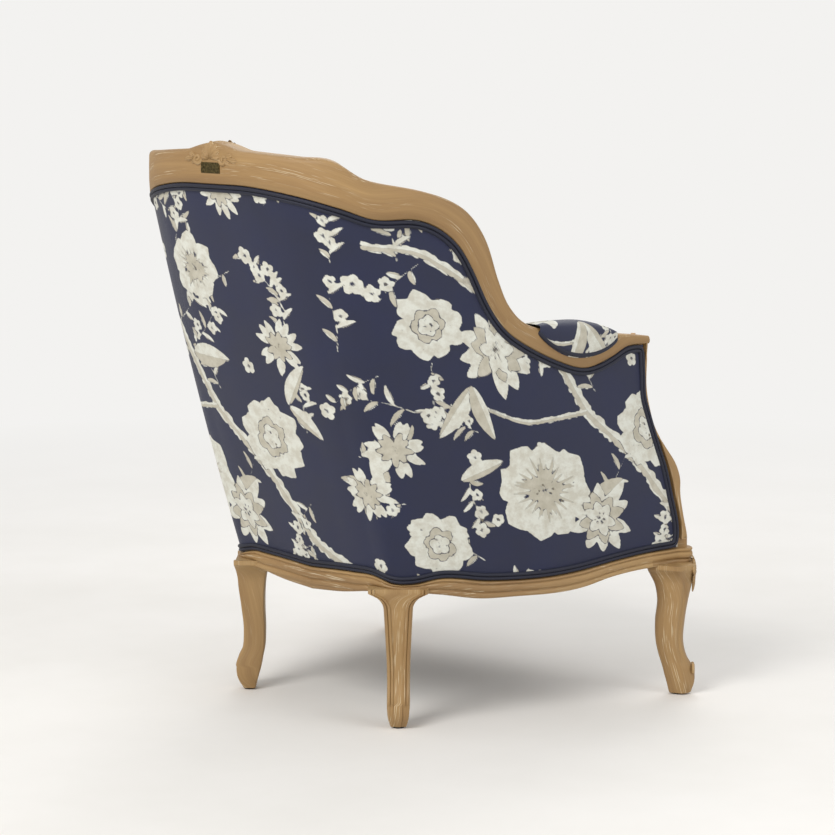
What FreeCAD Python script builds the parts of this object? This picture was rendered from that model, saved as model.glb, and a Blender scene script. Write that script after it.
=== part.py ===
"""An upholstered armchair of the closed-arm, round-backed kind, with a show-wood frame.

Millimetres. +Z is up, the floor is z = 0, the sitter faces -Y, and x = 0 is the middle.
"left" and "right" are the sitter's own: left is +X. Half outlines run from the middle of
the back round one side to the front, and every one is mirrored for the other side.
"""
import FreeCAD, Part
import math
import os

V = FreeCAD.Vector

# Seat frame
SEAT_HALF_WIDTH = 357.0      # outer face of the side rails at the front corners
SEAT_REAR_Y = 190.0          # outer face of the rear rail
SEAT_CORNER_Y = -330.0       # where the side rails end
SEAT_FRONT_Y = -397.0        # outer face of the front rail in the middle
RAIL_TOP_Z = 235.0           # lowest place of the rails' upper edge
RAIL_BOTTOM_Z = 205.0        # lowest place of the rails' lower edge
RAIL_WAVE = 20.0             # how far both edges swing up
RAIL_THICKNESS = 45.0
FRAME_TOP_Z = 272.0          # flat top of the rails, behind the upholstery
REBATE = 8.0                 # step in the wood that takes cover and card

# Top rail, from the crest down to the arms
TOP_HALF_WIDTH = 345.0
TOP_REAR_Y = 398.0
ARM_FRONT_Y = -264.0
CREST_Z = 948.0              # upper edge of the wood in the middle
ARM_Z = 631.0                # upper edge of the wood at the front of the arm
CREST_HEIGHT = 58.0          # height of the wood in the middle
ARM_HEIGHT = 20.0            # height of the wood at the front of the arm
TOP_THICKNESS = 40.0
TOP_ROUNDING = 7.0
SUPPORT_DEPTH = 38.0         # arm supports, front to back
SUPPORT_GAP = 2.5            # between the cover and the wood behind it
CARVING_RISE = 12.0
CARVING_HALF_LENGTH = 62.0
CARVING_FOOT = 6.0           # how far the carving reaches down into the wood

# Legs
REAR_FOOT = (186.0, 166.0)
FRONT_FOOT = (357.0, -342.0)
GLIDE_HEIGHT = 3.0
GLIDE_RADIUS = 9.0
GLIDE_PIN_RADIUS = 2.0
GLIDE_PIN_LENGTH = 14.0
LEG_BLOCK_BOTTOM_Z = 214.0

# Layers of the wall, inwards from the outer face of the wood
COVER_RECESS = 3.0
COVER_THICKNESS = 4.0
FRAME_LAYER = 24.0           # posts and stay rails
PAD_THICKNESS = 19.0         # padding at its edges
BACK_CROWN = 24.0
ARM_CROWN = 12.0
WALL_BULGE = 5.0             # the outside back swells by this much
LAYER_GAP = 1.0
EDGE_GAP = 2.0               # between the upholstery's edges and the wood above and below
POST_WIDTH = 45.0
STAY_HEIGHT = 40.0
STAY_Z = 322.0               # lower edge of the stay rails
TONGUE = 18.0                # wood behind the upholstery, under the top rail
TONGUE_GAP = 2.5             # on both its faces
TONGUE_STUB = 0.05           # what is left of it, as a share, above the arm supports
PAD_EDGE_GAP = 5.0           # between the padding's upper edge and the top rail
PAD_EDGE_REACH = 0.022       # and that far along the rail to both sides
PAD_LOW_Z = 284.0            # lower edge of the padding on the wall

# Seat
SPRING_WIRE = 3.6
SPRING_PAIRS = 3
SPRING_REAR_SPACING = 50.0
SPRING_FRONT_SPACING = 80.0
SPRING_PITCH = 22.0
SPRING_HALF_WIDTH = 20.0
CLIP_LENGTH = 30.0
CLIP_REACH = 12.0            # from the clip's back to its mouth
CLIP_THICKNESS = 1.5
CLIP_LINE = 36.0             # how far inside the rails' outer faces the springs end
SPRING_FIT = 0.2
DECK_THICKNESS = 38.0
DECK_GAP = 2.0
CUSHION_HEIGHT = 108.0       # at the edges, with both rolls
CUSHION_CROWN = 26.0
CUSHION_CLEARANCE = 8.0
CUSHION_SETBACK = 12.0       # the cushion stops this far behind the front rail's face
CUSHION_CORNER = 40.0
CUSHION_DOME = 150.0         # how far in from the edges the crown still rises
CUSHION_PULL = 5.0           # how far the sides draw in between the two seams
CUSHION_TRAVEL = 300.0       # how far up the loose cushion is lifted out

# Trim
WELT_WIDTH = 12.0
WELT_PROUD = 4.0
ARM_PAD_THICKNESS = 20.0     # on top of the arm
ARM_PAD_SIDE = 7.0           # down the arm's faces
ARM_PAD_DROP = 42.0          # how far its flaps reach down
ARM_PAD_FIT = 0.7
PLATE_WIDTH = 46.0
PLATE_HEIGHT = 17.0
PLATE_Z = 916.0
PLATE_THICKNESS = 1.2
PLATE_GAP = 0.2              # between the plate and the bowed crest behind it
PLATE_PIN_RADIUS = 1.2
PLATE_PIN_LENGTH = 10.0
DUST_COVER_THICKNESS = 1.2
DUST_COVER_GAP = 2.0         # between the dust cover's edge and the rails
DUST_COVER_Z = 208.0

# Joints in the wood
BLOCK_LEG = 52.0             # how far a corner block reaches along each rail
BLOCK_HEIGHT = 34.0
BLOCK_LOW_Z = 230.0
SCREW_RADIUS = 2.5
SCREW_HEAD_RADIUS = 5.0
SCREW_LENGTH = 52.0
SCREW_TIP_DEPTH = 18.0       # from the rail's outer face to the screw's point
SCREW_HEAD_HEIGHT = 3.0
DOWEL_RADIUS = 4.0
DOWEL_LENGTH = 36.0
DOWEL_FIT = 0.1
DOWEL_SPACING = 20.0

# Half outlines, as shares of the sizes above: (x / half width, y from front 0 to rear 1)
RAIL_PLAN = ((0, 1), (0.22, 1), (0.42, 0.997), (0.545, 0.980), (0.605, 0.925), (0.652, 0.845),
             (0.70, 0.745), (0.76, 0.63), (0.826, 0.505), (0.877, 0.377), (0.93, 0.235),
             (0.97, 0.115), (1, 0))
TOP_PLAN = ((0, 1), (0.29, 0.994), (0.493, 0.968), (0.623, 0.929), (0.725, 0.869), (0.797, 0.793),
            (0.87, 0.695), (0.942, 0.529), (0.986, 0.347), (1, 0.196), (1, 0))
# The corner of the seat frame and its bowed front: (x / half width, y from corner 0 to front 1)
FRONT_PLAN = ((1, 0), (1.029, 0.28), (1.002, 0.52), (0.90, 0.585), (0.72, 0.73), (0.48, 0.88),
              (0.24, 0.97), (0, 1))
# Swing of the rails' edges: (share of the half outline, share of the wave)
RAIL_TOP_WAVE = ((0, 0.45), (0.14, 0.75), (0.20, 0.80), (0.26, 0.30), (0.31, 0.25), (0.36, 0.55),
                 (0.49, 0), (0.72, 0.06), (0.82, 0.58), (0.91, 0.92), (1, 1))
RAIL_BOTTOM_WAVE = ((0, 0.1), (0.10, 0.4), (0.20, 0.95), (0.30, 1.1), (0.37, 0.75), (0.47, 0.1),
                    (0.56, 0), (0.74, 0.2), (0.81, 0.75), (0.90, 1.1), (1, 1.1))
# Pairs across the top rail, along it: (share of the half outline, height from arm 0 to crest 1)
TOP_LOWER = ((0, 1), (0.10, 0.996), (0.20, 0.955), (0.283, 0.89), (0.35, 0.822), (0.425, 0.818),
             (0.473, 0.768), (0.515, 0.668), (0.545, 0.525), (0.578, 0.33), (0.615, 0.182),
             (0.665, 0.075), (0.747, -0.04), (0.82, -0.10), (0.89, -0.055), (0.94, 0.0), (1, 0))
TOP_UPPER = ((0, 1), (0.12, 0.981), (0.20, 0.967), (0.272, 0.951), (0.336, 0.858), (0.435, 0.802),
             (0.50, 0.747), (0.545, 0.668), (0.580, 0.535), (0.606, 0.345), (0.632, 0.205),
             (0.675, 0.105), (0.747, 0.055), (0.82, 0.035), (0.89, 0.015), (0.94, 0), (1, -0.02))
# Front edges of the arm support and of the outside cover, down from the arm:
# (height from seat rail 0 to arm 1, y from the arm's front 0 to the rail's corner 1)
SUPPORT_FRONT = ((1, 0), (0.90, -0.10), (0.79, -0.14), (0.70, -0.05), (0.59, 0.18), (0.50, 0.56),
                 (0.42, 0.92), (0.34, 1.11), (0.27, 1.12), (0.16, 1.25), (0.05, 1.42), (0, 1.45))
COVER_FRONT = ((1, -0.20), (0.84, -0.23), (0.76, -0.24), (0.65, -0.04), (0.51, 0.28), (0.41, 0.53),
               (0.27, 0.78), (0.08, 1.06), (0, 1.02))
# Legs: (height, outer face, inner face, half width), outwards from the foot's centre
REAR_LEG = ((0, 12.5, -9, 13), (16, 21.5, -13, 17), (36, 24, -18.5, 18.5), (52, 20.5, -21.5, 18.5),
            (70, 12.2, -25, 18.5), (101, 9, -26.6, 19), (145, 12.7, -25.5, 21), (184, 17.5, -27, 23),
            (216, 19, -32, 25))
FRONT_LEG = ((0, 15.5, -20, 16), (16, 21, -24, 18), (30, 22, -28, 19), (42, 20, -31, 20),
             (64, 7.5, -38, 20), (85, 2, -43, 20), (125, 3.4, -45, 21), (165, 9.5, -42, 23),
             (190, 14.5, -47, 26), (216, 17, -60, 29))

# Shares of the half outline where one piece of wood stops and the next starts
REAR_LEG_SPAN = (0.228, 0.335)
FRONT_LEG_START = 0.925
FRONT_LEG_END = 0.36
BORDER_START = 0.31
CREST_END = 2.0              # pairs of the top rail
SHOULDER_END = 10.0
ARM_END = 16.0
TONGUE_LAST = 15.0           # the tongue runs out over the pair before this one
BACK_PAD_END = 0.44
ARM_PAD_START = 0.45
INSIDE_ARM_END = 0.965
PAD_BEND = 0.10               # the bend's reach on both sides, as a share of the outline
PAD_STEPS = 40
SEAT_OUTLINE_KEYS = (0.0, 0.08, 0.14, 0.19, 0.225, 0.35, 0.40, 0.48, 0.58, 0.68, 0.78, 0.88)
ARM_STAY_END = 0.965
ARM_PAD_SPAN = (0.70, 0.905)


class Line:
    """A smooth line through chosen points, found by its key: a share of its length, or the
    first number of each point where by_first is set."""

    def __init__(self, points, by_first=False, level_start=False):
        if by_first:
            self.keys = [float(p[0]) for p in points]
            self.points = [tuple(p[1:]) for p in points]
        else:
            self.points = [tuple(p) for p in points]
            steps = [math.dist(a, b) for a, b in zip(self.points, self.points[1:])]
            self.length = sum(steps)
            self.keys = [sum(steps[:i]) / self.length for i in range(len(points))]
        self.slopes = [self.slope(i) for i in range(len(self.keys))]
        if level_start:
            self.slopes[0] = (self.slopes[0][0],) + (0.0,) * (len(self.slopes[0]) - 1)

    def step(self, i):
        width = self.keys[i + 1] - self.keys[i]
        return width, [(b - a) / width for a, b in zip(self.points[i], self.points[i + 1])]

    def slope(self, i):
        if i == 0:
            return tuple(self.step(0)[1])
        if i == len(self.keys) - 1:
            return tuple(self.step(i - 1)[1])
        before, left = self.step(i - 1)
        after, right = self.step(i)
        return tuple((a * after + b * before) / (before + after) for a, b in zip(left, right))

    def span(self, key):
        i = 0
        while i < len(self.keys) - 2 and key > self.keys[i + 1]:
            i += 1
        return i

    def at(self, key):
        i = self.span(key)
        width = self.keys[i + 1] - self.keys[i]
        t = (key - self.keys[i]) / width
        a, b = 2 * t ** 3 - 3 * t ** 2 + 1, 3 * t ** 2 - 2 * t ** 3
        c, d = (t ** 3 - 2 * t ** 2 + t) * width, (t ** 3 - t ** 2) * width
        parts = zip(self.points[i], self.points[i + 1], self.slopes[i], self.slopes[i + 1])
        return tuple(a * p + b * q + c * r + d * s for p, q, r, s in parts)

    def value(self, key):
        return self.at(key)[0]

    def heading(self, key):
        small = 0.002
        a, b = self.at(max(0.0, key - small)), self.at(min(self.keys[-1], key + small))
        length = math.dist(a, b)
        return (b[0] - a[0]) / length, (b[1] - a[1]) / length


def mix(a, b, share):
    return a + (b - a) * share


def plan_line(shape, half_width, front, rear):
    return Line([(x * half_width, mix(front, rear, y)) for x, y in shape], level_start=True)


def inward(line, key):
    dx, dy = line.heading(key)
    return dy, -dx


def offset_point(line, key, n):
    x, y = line.at(key)
    nx, ny = inward(line, key)
    return x + nx * n, y + ny * n


def pad_point(u):
    """Where the padding starts: inside the frame's layer, averaged along the rail so that the
    padding goes round the seat frame's corner in a wide bend."""
    reach = min(PAD_BEND, 1 - u)
    total_x, total_y = 0.0, 0.0
    for i in range(-4, 5):
        key = u + reach * i / 4
        x, y = offset_point(RAIL, abs(key), PAD_BACK)
        total_x += x if key >= 0 else -x
        total_y += y
    return total_x / 9, total_y / 9


RAIL = plan_line(RAIL_PLAN, SEAT_HALF_WIDTH, SEAT_CORNER_Y, SEAT_REAR_Y)
TOP = plan_line(TOP_PLAN, TOP_HALF_WIDTH, ARM_FRONT_Y, TOP_REAR_Y)
PAD_BACK = REBATE + FRAME_LAYER + LAYER_GAP
PAD = Line([(i / PAD_STEPS,) + pad_point(i / PAD_STEPS) for i in range(PAD_STEPS + 1)],
           by_first=True)
FRONT = Line([(x * SEAT_HALF_WIDTH, mix(SEAT_CORNER_Y, SEAT_FRONT_Y, y)) for x, y in FRONT_PLAN])
TOP_WAVE = Line(RAIL_TOP_WAVE, by_first=True)
BOTTOM_WAVE = Line(RAIL_BOTTOM_WAVE, by_first=True)
LOWER_PAIR = Line([(i,) + p for i, p in enumerate(TOP_LOWER)], by_first=True)
UPPER_PAIR = Line([(i,) + p for i, p in enumerate(TOP_UPPER)], by_first=True)
SUPPORT_LINE = Line(SUPPORT_FRONT[::-1], by_first=True)
COVER_LINE = Line(COVER_FRONT[::-1], by_first=True)


def rail_top(u):
    return RAIL_TOP_Z + RAIL_WAVE * TOP_WAVE.value(u)


def rail_bottom(u):
    return RAIL_BOTTOM_Z + RAIL_WAVE * BOTTOM_WAVE.value(u)


def lower_z(share):
    return mix(ARM_Z - ARM_HEIGHT, CREST_Z - CREST_HEIGHT, share)


def upper_z(share):
    return mix(ARM_Z, CREST_Z, share)


def top_edge(u):
    """Height of the top rail's lower edge, where the upholstery ends."""
    low, high = 0.0, ARM_END
    for _ in range(30):
        middle = (low + high) / 2
        if LOWER_PAIR.value(middle) < u:
            low = middle
        else:
            high = middle
    return lower_z(LOWER_PAIR.at(low)[1])


def pad_top(u):
    """Height of the padding's upper edge, clear of the top rail on both sides of u."""
    near = [top_edge(min(1.0, max(0.0, u + d))) for d in (-PAD_EDGE_REACH, 0, PAD_EDGE_REACH)]
    return min(near) - PAD_EDGE_GAP


def cover_front_y(z):
    share = (z - rail_top(1)) / (top_edge(1) - rail_top(1))
    return mix(ARM_FRONT_Y, SEAT_CORNER_Y, COVER_LINE.value(min(1.0, max(0.0, share))))


def support_front_y(z):
    share = (z - rail_top(1)) / (top_edge(1) - rail_top(1))
    return mix(ARM_FRONT_Y, SEAT_CORNER_Y, SUPPORT_LINE.value(min(1.0, max(0.0, share))))


def wall(u, v, n):
    """A point of the chair's wall: u round the half outline (negative on the right), v from
    the seat rail's upper edge 0 to the top rail's lower edge 1, n inwards from the wood."""
    a = abs(u)
    line, start = (RAIL, 0.0) if n < PAD_BACK else (PAD, PAD_BACK)
    low, high = offset_point(line, a, -start), TOP.at(a)
    n_low, n_high = inward(line, a), inward(TOP, a)
    nx, ny = mix(n_low[0], n_high[0], v), mix(n_low[1], n_high[1], v)
    size = math.hypot(nx, ny)
    z = mix(rail_top(a), top_edge(a), v)
    x, y = mix(low[0], high[0], v), mix(low[1], high[1], v)
    pull = max(0.0, (a - 0.85) / 0.15) ** 2
    y += (cover_front_y(z) - mix(SEAT_CORNER_Y, ARM_FRONT_Y, v)) * pull
    depth = n - WALL_BULGE * 4 * v * (1 - v)
    x += nx / size * depth
    y += ny / size * depth
    return V(math.copysign(x, u) if u else 0.0, y, z)


def wall_at(u, z, n):
    """The same point, found by its height instead of v."""
    a = abs(u)
    return wall(u, (z - rail_top(a)) / (top_edge(a) - rail_top(a)), n)


def wall_x(z, y, n):
    """How far out the wall's layer n stands at height z and depth y."""
    low, high = 0.5, 1.0
    for _ in range(30):
        middle = (low + high) / 2
        if wall_at(middle, z, n).y > y:
            low = middle
        else:
            high = middle
    return wall_at(low, z, n).x


def stations(start, end, count):
    return [mix(start, end, i / (count - 1)) for i in range(count)]


def closed_wire(points):
    return Part.makePolygon(list(points) + [points[0]])


def loft(wires, ruled=False):
    solid = Part.makeLoft(wires, True, ruled)
    if solid.Volume < 0:
        solid.reverse()
    return solid


def spline_surface(grid):
    surface = Part.BSplineSurface()
    surface.interpolate(grid)
    return surface


def sheet_solid(outer, inner):
    """A solid between two smooth surfaces, each through its own grid of points."""
    a, b = spline_surface(outer), spline_surface(inner)
    faces = [a.toShape(), b.toShape()]
    u_low, u_high, v_low, v_high = a.bounds()
    c_low, c_high, d_low, d_high = b.bounds()
    rims = ((a.uIso(u_low), b.uIso(c_low)), (a.uIso(u_high), b.uIso(c_high)),
            (a.vIso(v_low), b.vIso(d_low)), (a.vIso(v_high), b.vIso(d_high)))
    faces += [Part.makeRuledSurface(p.toShape(), q.toShape()) for p, q in rims]
    shell = Part.makeShell(faces)
    shell.sewShape()
    solid = Part.makeSolid(shell)
    if solid.Volume < 0:
        solid.reverse()
    return solid


def mirrored(shape):
    return shape.mirror(V(0, 0, 0), V(1, 0, 0))


def wall_strip(start, end, count, low, high, outer, inner, rows=3):
    """A piece that follows the wall between two layers, from height low(u) to high(u)."""
    grids = ([], [])
    for u in stations(start, end, count):
        rise = stations(low(abs(u)), high(abs(u)), rows)
        for grid, n in zip(grids, (outer, inner)):
            grid.append([wall_at(u, z, n) for z in rise])
    return sheet_solid(*grids)


def rail_piece(line, start, end, count, top, bottom):
    """A seat rail: show wood outside, and a higher flat body behind the rebate."""
    wires = []
    for u in stations(start, end, count):
        a = abs(u)
        x, y = line.at(a)
        nx, ny = inward(line, a)
        side = math.copysign(1.0, u) if u else 1.0
        corners = ((0, bottom(a)), (0, top(a)), (REBATE, top(a)), (REBATE, FRAME_TOP_Z),
                   (RAIL_THICKNESS, FRAME_TOP_Z), (RAIL_THICKNESS, bottom(a)))
        wires.append(closed_wire([V((x + nx * n) * side, y + ny * n, z) for n, z in corners]))
    return loft(wires)


def plan_block(points, inset_points, step):
    """A leg's head: show wood up to step, and the flat body behind the rebate above it."""
    foot = Part.Face(closed_wire([V(x, y, LEG_BLOCK_BOTTOM_Z) for x, y in points]))
    lower = foot.extrude(V(0, 0, step - LEG_BLOCK_BOTTOM_Z))
    upper = Part.Face(closed_wire([V(x, y, step) for x, y in inset_points]))
    return lower.fuse(upper.extrude(V(0, 0, FRAME_TOP_Z - step))).removeSplitter()


def cabriole(profile, foot, heading):
    """A cabriole leg: rounded square sections, turned to face outwards along heading."""
    dx, dy = heading
    tx, ty = -dy, dx
    wires = []
    for height, outer, inner, half in profile:
        z = height + GLIDE_HEIGHT
        chamfer = min(6.0, half * 0.3)
        shape = ((outer, half - chamfer), (outer - chamfer, half), (inner + chamfer, half),
                 (inner, half - chamfer), (inner, chamfer - half), (inner + chamfer, -half),
                 (outer - chamfer, -half), (outer, chamfer - half))
        wires.append(closed_wire([V(foot[0] + dx * a + tx * b, foot[1] + dy * a + ty * b, z)
                                  for a, b in shape]))
    return loft(wires)


def top_pair(t):
    """The top rail at pair t: its outer lower and upper corners, and the way inwards."""
    a = abs(t)
    low_u, low_share = LOWER_PAIR.at(a)
    up_u, up_share = UPPER_PAIR.at(a)
    low, up = TOP.at(low_u), TOP.at(up_u)
    nx, ny = inward(TOP, (low_u + up_u) / 2)
    side = math.copysign(1.0, t) if t else 1.0
    return (V(low[0] * side, low[1], lower_z(low_share)), V(up[0] * side, up[1], upper_z(up_share)),
            V(nx * side, ny, 0))


def top_section(t):
    """The top rail's section, with its upper edges rounded by short flats, and below it the
    tongue behind the upholstery, which leans as the wall does."""
    low, up, way = top_pair(t)
    rise = up - low
    height = rise.Length
    rise.normalize()
    u = LOWER_PAIR.value(abs(t))
    dx, dy = TOP.heading(u)
    depth = TONGUE * min(1.0, max(TONGUE_STUB, TONGUE_LAST - abs(t)))
    tip = low - rise * depth
    u -= depth * (math.copysign(rise.x, rise.x * t) * dx + rise.y * dy) / TOP.length
    lean = (wall_at(math.copysign(u, t), tip.z, 0) - tip).dot(way)
    near, far = REBATE + TONGUE_GAP, REBATE + FRAME_LAYER - TONGUE_GAP
    r = min(TOP_ROUNDING, height * 0.3)
    k = r * 0.3
    shape = ((0, 0), (height - r, 0), (height - k, k), (height, r), (height, TOP_THICKNESS - r),
             (height - k, TOP_THICKNESS - k), (height - r, TOP_THICKNESS), (0, TOP_THICKNESS),
             (0, far), (-depth, far + lean), (-depth, near + lean), (0, near))
    return closed_wire([low + rise * w + way * n for w, n in shape])


def top_piece(start, end, count):
    return loft([top_section(t) for t in stations(start, end, count)])


def crest_rail():
    """The crest, with its carved shell as a low swelling on top."""
    body = top_piece(-CREST_END, CREST_END, 9)
    wires = []
    for i in stations(-1, 1, 7):
        rise = CARVING_RISE * (1 - i * i) + 1
        x, z = i * CARVING_HALF_LENGTH, CREST_Z - CARVING_FOOT
        front = TOP_REAR_Y - TOP_THICKNESS + 2
        shape = ((TOP_REAR_Y - 1, z), (TOP_REAR_Y - 1, z + rise), (TOP_REAR_Y - 8, CREST_Z + rise),
                 (front + 8, CREST_Z + rise), (front, z + rise), (front, z))
        wires.append(closed_wire([V(x, y, z) for y, z in shape]))
    return body.fuse(loft(wires)).removeSplitter()


def support_share(z):
    return (z - rail_top(1)) / (top_edge(1) - rail_top(1))


def arm_support():
    """From the arm's front end down to the front leg's head, rebated for the cover."""
    wires = []
    for z in stations(FRAME_TOP_Z, lower_z(0), 21):
        front = support_front_y(z)
        lip = max(cover_front_y(z) - EDGE_GAP * 3, front + 3)
        rear = front + SUPPORT_DEPTH
        outer = wall_at(1.0, z, 0).x
        step = REBATE + SUPPORT_GAP
        inner = min(outer, wall_x(z, rear, step) + step) - REBATE - FRAME_LAYER
        shape = ((outer, front), (outer, lip), (outer - step, lip),
                 (wall_x(z, rear, step), rear), (inner, rear), (inner, front))
        wires.append(closed_wire([V(x, y, z) for x, y in shape]))
    return loft(wires)


def post_span():
    middle = sum(REAR_LEG_SPAN) / 2
    half = POST_WIDTH / 2 / RAIL.length
    return middle - half, middle + half


def frame_strip(start, end, count, low, high):
    return wall_strip(start, end, count, low, high, REBATE, REBATE + FRAME_LAYER)


def back_post():
    start, end = post_span()
    return frame_strip(start, end, 3, lambda u: FRAME_TOP_Z, lambda u: top_edge(u) - TONGUE)


def stay(start, end, count):
    return frame_strip(start, end, count, lambda u: STAY_Z, lambda u: STAY_Z + STAY_HEIGHT)


def pad_face(share, end_share, crown):
    """Layer of a pad's face: thickest in the middle, drawn in along all its edges."""
    swell = (1 - (2 * share - 1) ** 4) * (1 - (2 * end_share - 1) ** 6)
    return PAD_BACK + PAD_THICKNESS + crown * swell


def inside_pad(start, end, count, crown, rows=9):
    """Padding on the wall's inner side, crowned, from the deck up to the top rail."""
    face, back = [], []
    for i, u in enumerate(stations(start, end, count)):
        end_share = mix(0.02, 0.98, i / (count - 1))
        rise = stations(PAD_LOW_Z, pad_top(abs(u)), rows)
        layers = [pad_face(mix(0.02, 0.98, j / (rows - 1)), end_share, crown) for j in range(rows)]
        face.append([wall_at(u, z, n) for z, n in zip(rise, layers)])
        back.append([wall_at(u, z, PAD_BACK) for z in rise])
    return sheet_solid(back, face)


def seat_side(u, low_z, high_z):
    """The outline of what lies beside the wall at u, clear of the pads between two heights."""
    low = V(*PAD.at(u), 0)
    way = V(*inward(PAD, u), 0)
    high = pad_top(u)
    crown = BACK_CROWN if u < BACK_PAD_END else ARM_CROWN
    reach = 0.0
    for z in stations(low_z, min(high, high_z), 9):
        share = min(1.0, max(0.0, (z - PAD_LOW_Z) / (high - PAD_LOW_Z)))
        face = wall_at(u, z, pad_face(share, 0.5, crown))
        reach = max(reach, (V(face.x, face.y, 0) - low).dot(way))
    return low + way * (reach + CUSHION_CLEARANCE)


def deck_low():
    return FRAME_TOP_Z + 2 * CLIP_THICKNESS + SPRING_WIRE + SPRING_FIT + LAYER_GAP


def deck_top():
    return deck_low() + DECK_THICKNESS


def seat_outline(front_inset, low_z, high_z):
    """Half outline of what lies on the seat, from the back round the side to the front."""
    side = [seat_side(u, low_z, high_z) for u in SEAT_OUTLINE_KEYS]
    corner_x = side[-1].x
    front_y = FRONT.at(FRONT_LEG_END)[1] + front_inset
    reach = CUSHION_CORNER
    corner = [(corner_x, front_y + reach), (corner_x - reach * 0.1, front_y + reach * 0.5),
              (corner_x - reach * 0.4, front_y + reach * 0.12), (corner_x - reach, front_y)]
    across = [(corner_x * share, mix(SEAT_FRONT_Y + front_inset, front_y, share ** 2))
              for share in (0.6, 0.3, 0)]
    return side + [V(x, y, 0) for x, y in corner + across]


def seat_wire(outline, inset, z):
    """A closed smooth line round the seat, drawn in by inset."""
    half_width = max(p.x for p in outline)
    rear, front = outline[0].y, outline[-1].y
    middle, half_depth = (rear + front) / 2, (rear - front) / 2
    wide, deep = 1 - inset / half_width, 1 - inset / half_depth
    left = [V(p.x * wide, middle + (p.y - middle) * deep, z) for p in outline]
    right = [V(-p.x, p.y, z) for p in left[1:-1]]
    curve = Part.BSplineCurve()
    curve.interpolate(left + right[::-1], PeriodicFlag=True)
    return Part.Wire([curve.toShape()])


def seat_cushion():
    """A loose crowned cushion: rolled edges, and sides that draw in between two seams."""
    low = deck_top() + LAYER_GAP
    outline = seat_outline(CUSHION_SETBACK, low, low + CUSHION_TRAVEL)
    roll = CUSHION_HEIGHT * 0.16
    middle = low + CUSHION_HEIGHT / 2
    high = low + CUSHION_HEIGHT
    levels = [(roll * 1.2, low), (roll * 0.35, low + roll * 0.35), (0, low + roll),
              (CUSHION_PULL * 0.7, mix(low + roll, middle, 0.5)), (CUSHION_PULL, middle),
              (CUSHION_PULL * 0.7, mix(high - roll, middle, 0.5)), (0, high - roll)]
    for angle in stations(15, 85, 8):
        inset = CUSHION_DOME * (1 - math.cos(math.radians(angle)))
        rise = (roll + CUSHION_CROWN) * math.sin(math.radians(angle))
        levels.append((inset, high - roll + rise))
    return loft([seat_wire(outline, inset, z) for inset, z in levels], ruled=True)


def deck_pad():
    outline = seat_outline(REBATE + DECK_GAP, PAD_LOW_Z, deck_top())
    edge = DECK_THICKNESS * 0.25
    levels = ((DECK_GAP * 3, deck_low()), (DECK_GAP * 2, deck_low() + edge),
              (DECK_GAP * 2, deck_top() - edge), (edge, deck_top()))
    return loft([seat_wire(outline, inset, z) for inset, z in levels], ruled=True)


def front_border():
    """The covered strip between the front rail's wood and the loose cushion."""
    wires = []
    for w in stations(BORDER_START, 2 - BORDER_START, 15):
        a, side = (w, 1) if w <= 1 else (2 - w, -1)
        near, far = [offset_point(FRONT, a, n) for n in (COVER_RECESS, REBATE - LAYER_GAP)]
        low, high = rail_top(1) + EDGE_GAP, deck_top() - DECK_THICKNESS * 0.25
        corners = ((near, low), (near, high), (far, high), (far, low))
        wires.append(closed_wire([V(p[0] * side, p[1], z) for p, z in corners]))
    return loft(wires)


def spring_ends():
    """Both ends of every spring on the left, on the front and the rear rail."""
    rear_y = SEAT_REAR_Y - CLIP_LINE
    ends = []
    for i in range(SPRING_PAIRS):
        front_x = (i + 0.5) * SPRING_FRONT_SPACING
        front_y = front_rail_y(front_x) + CLIP_LINE
        ends.append((V(front_x, front_y, 0), V((i + 0.5) * SPRING_REAR_SPACING, rear_y, 0)))
    return ends


def front_rail_y(x):
    """The front rail's outer face at a distance x from the middle."""
    low, high = FRONT_LEG_END * 0.5, 1.0
    for _ in range(30):
        middle = (low + high) / 2
        if FRONT.value(middle) > x:
            low = middle
        else:
            high = middle
    return FRONT.at(low)[1]


def wire_height():
    return FRAME_TOP_Z + CLIP_THICKNESS + SPRING_FIT / 2 + SPRING_WIRE / 2


def zigzag_spring(start, end):
    """A flat spring: cross runs joined by half turns, from the front rail to the rear one."""
    along = end - start
    turns = int(along.Length / SPRING_PITCH)
    radius = along.Length / turns / 2
    along.normalize()
    across = V(-along.y, along.x, 0)
    reach = SPRING_HALF_WIDTH - radius
    z = V(0, 0, wire_height())
    edges = []
    for i in range(turns + 1):
        side = 1 if i % 2 == 0 else -1
        base = start + along * (radius * 2 * i) + z
        a, b = base - across * (reach * side), base + across * (reach * side)
        edges.append(Part.LineSegment(a, b).toShape())
        if i < turns:
            centre = b + along * radius
            out = across * (radius * side)
            slant = (out - along * radius) * math.sqrt(0.5)
            other = (out + along * radius) * math.sqrt(0.5)
            edges.append(Part.Arc(b, centre + slant, centre + out).toShape())
            edges.append(Part.Arc(centre + out, centre + other, centre + along * radius).toShape())
    first = edges[0].Vertexes[0].Point
    heading = edges[0].tangentAt(edges[0].FirstParameter)
    profile = Part.Wire(Part.Circle(first, heading, SPRING_WIRE / 2).toShape())
    return Part.Wire(edges).makePipeShell([profile], True, False)


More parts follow.
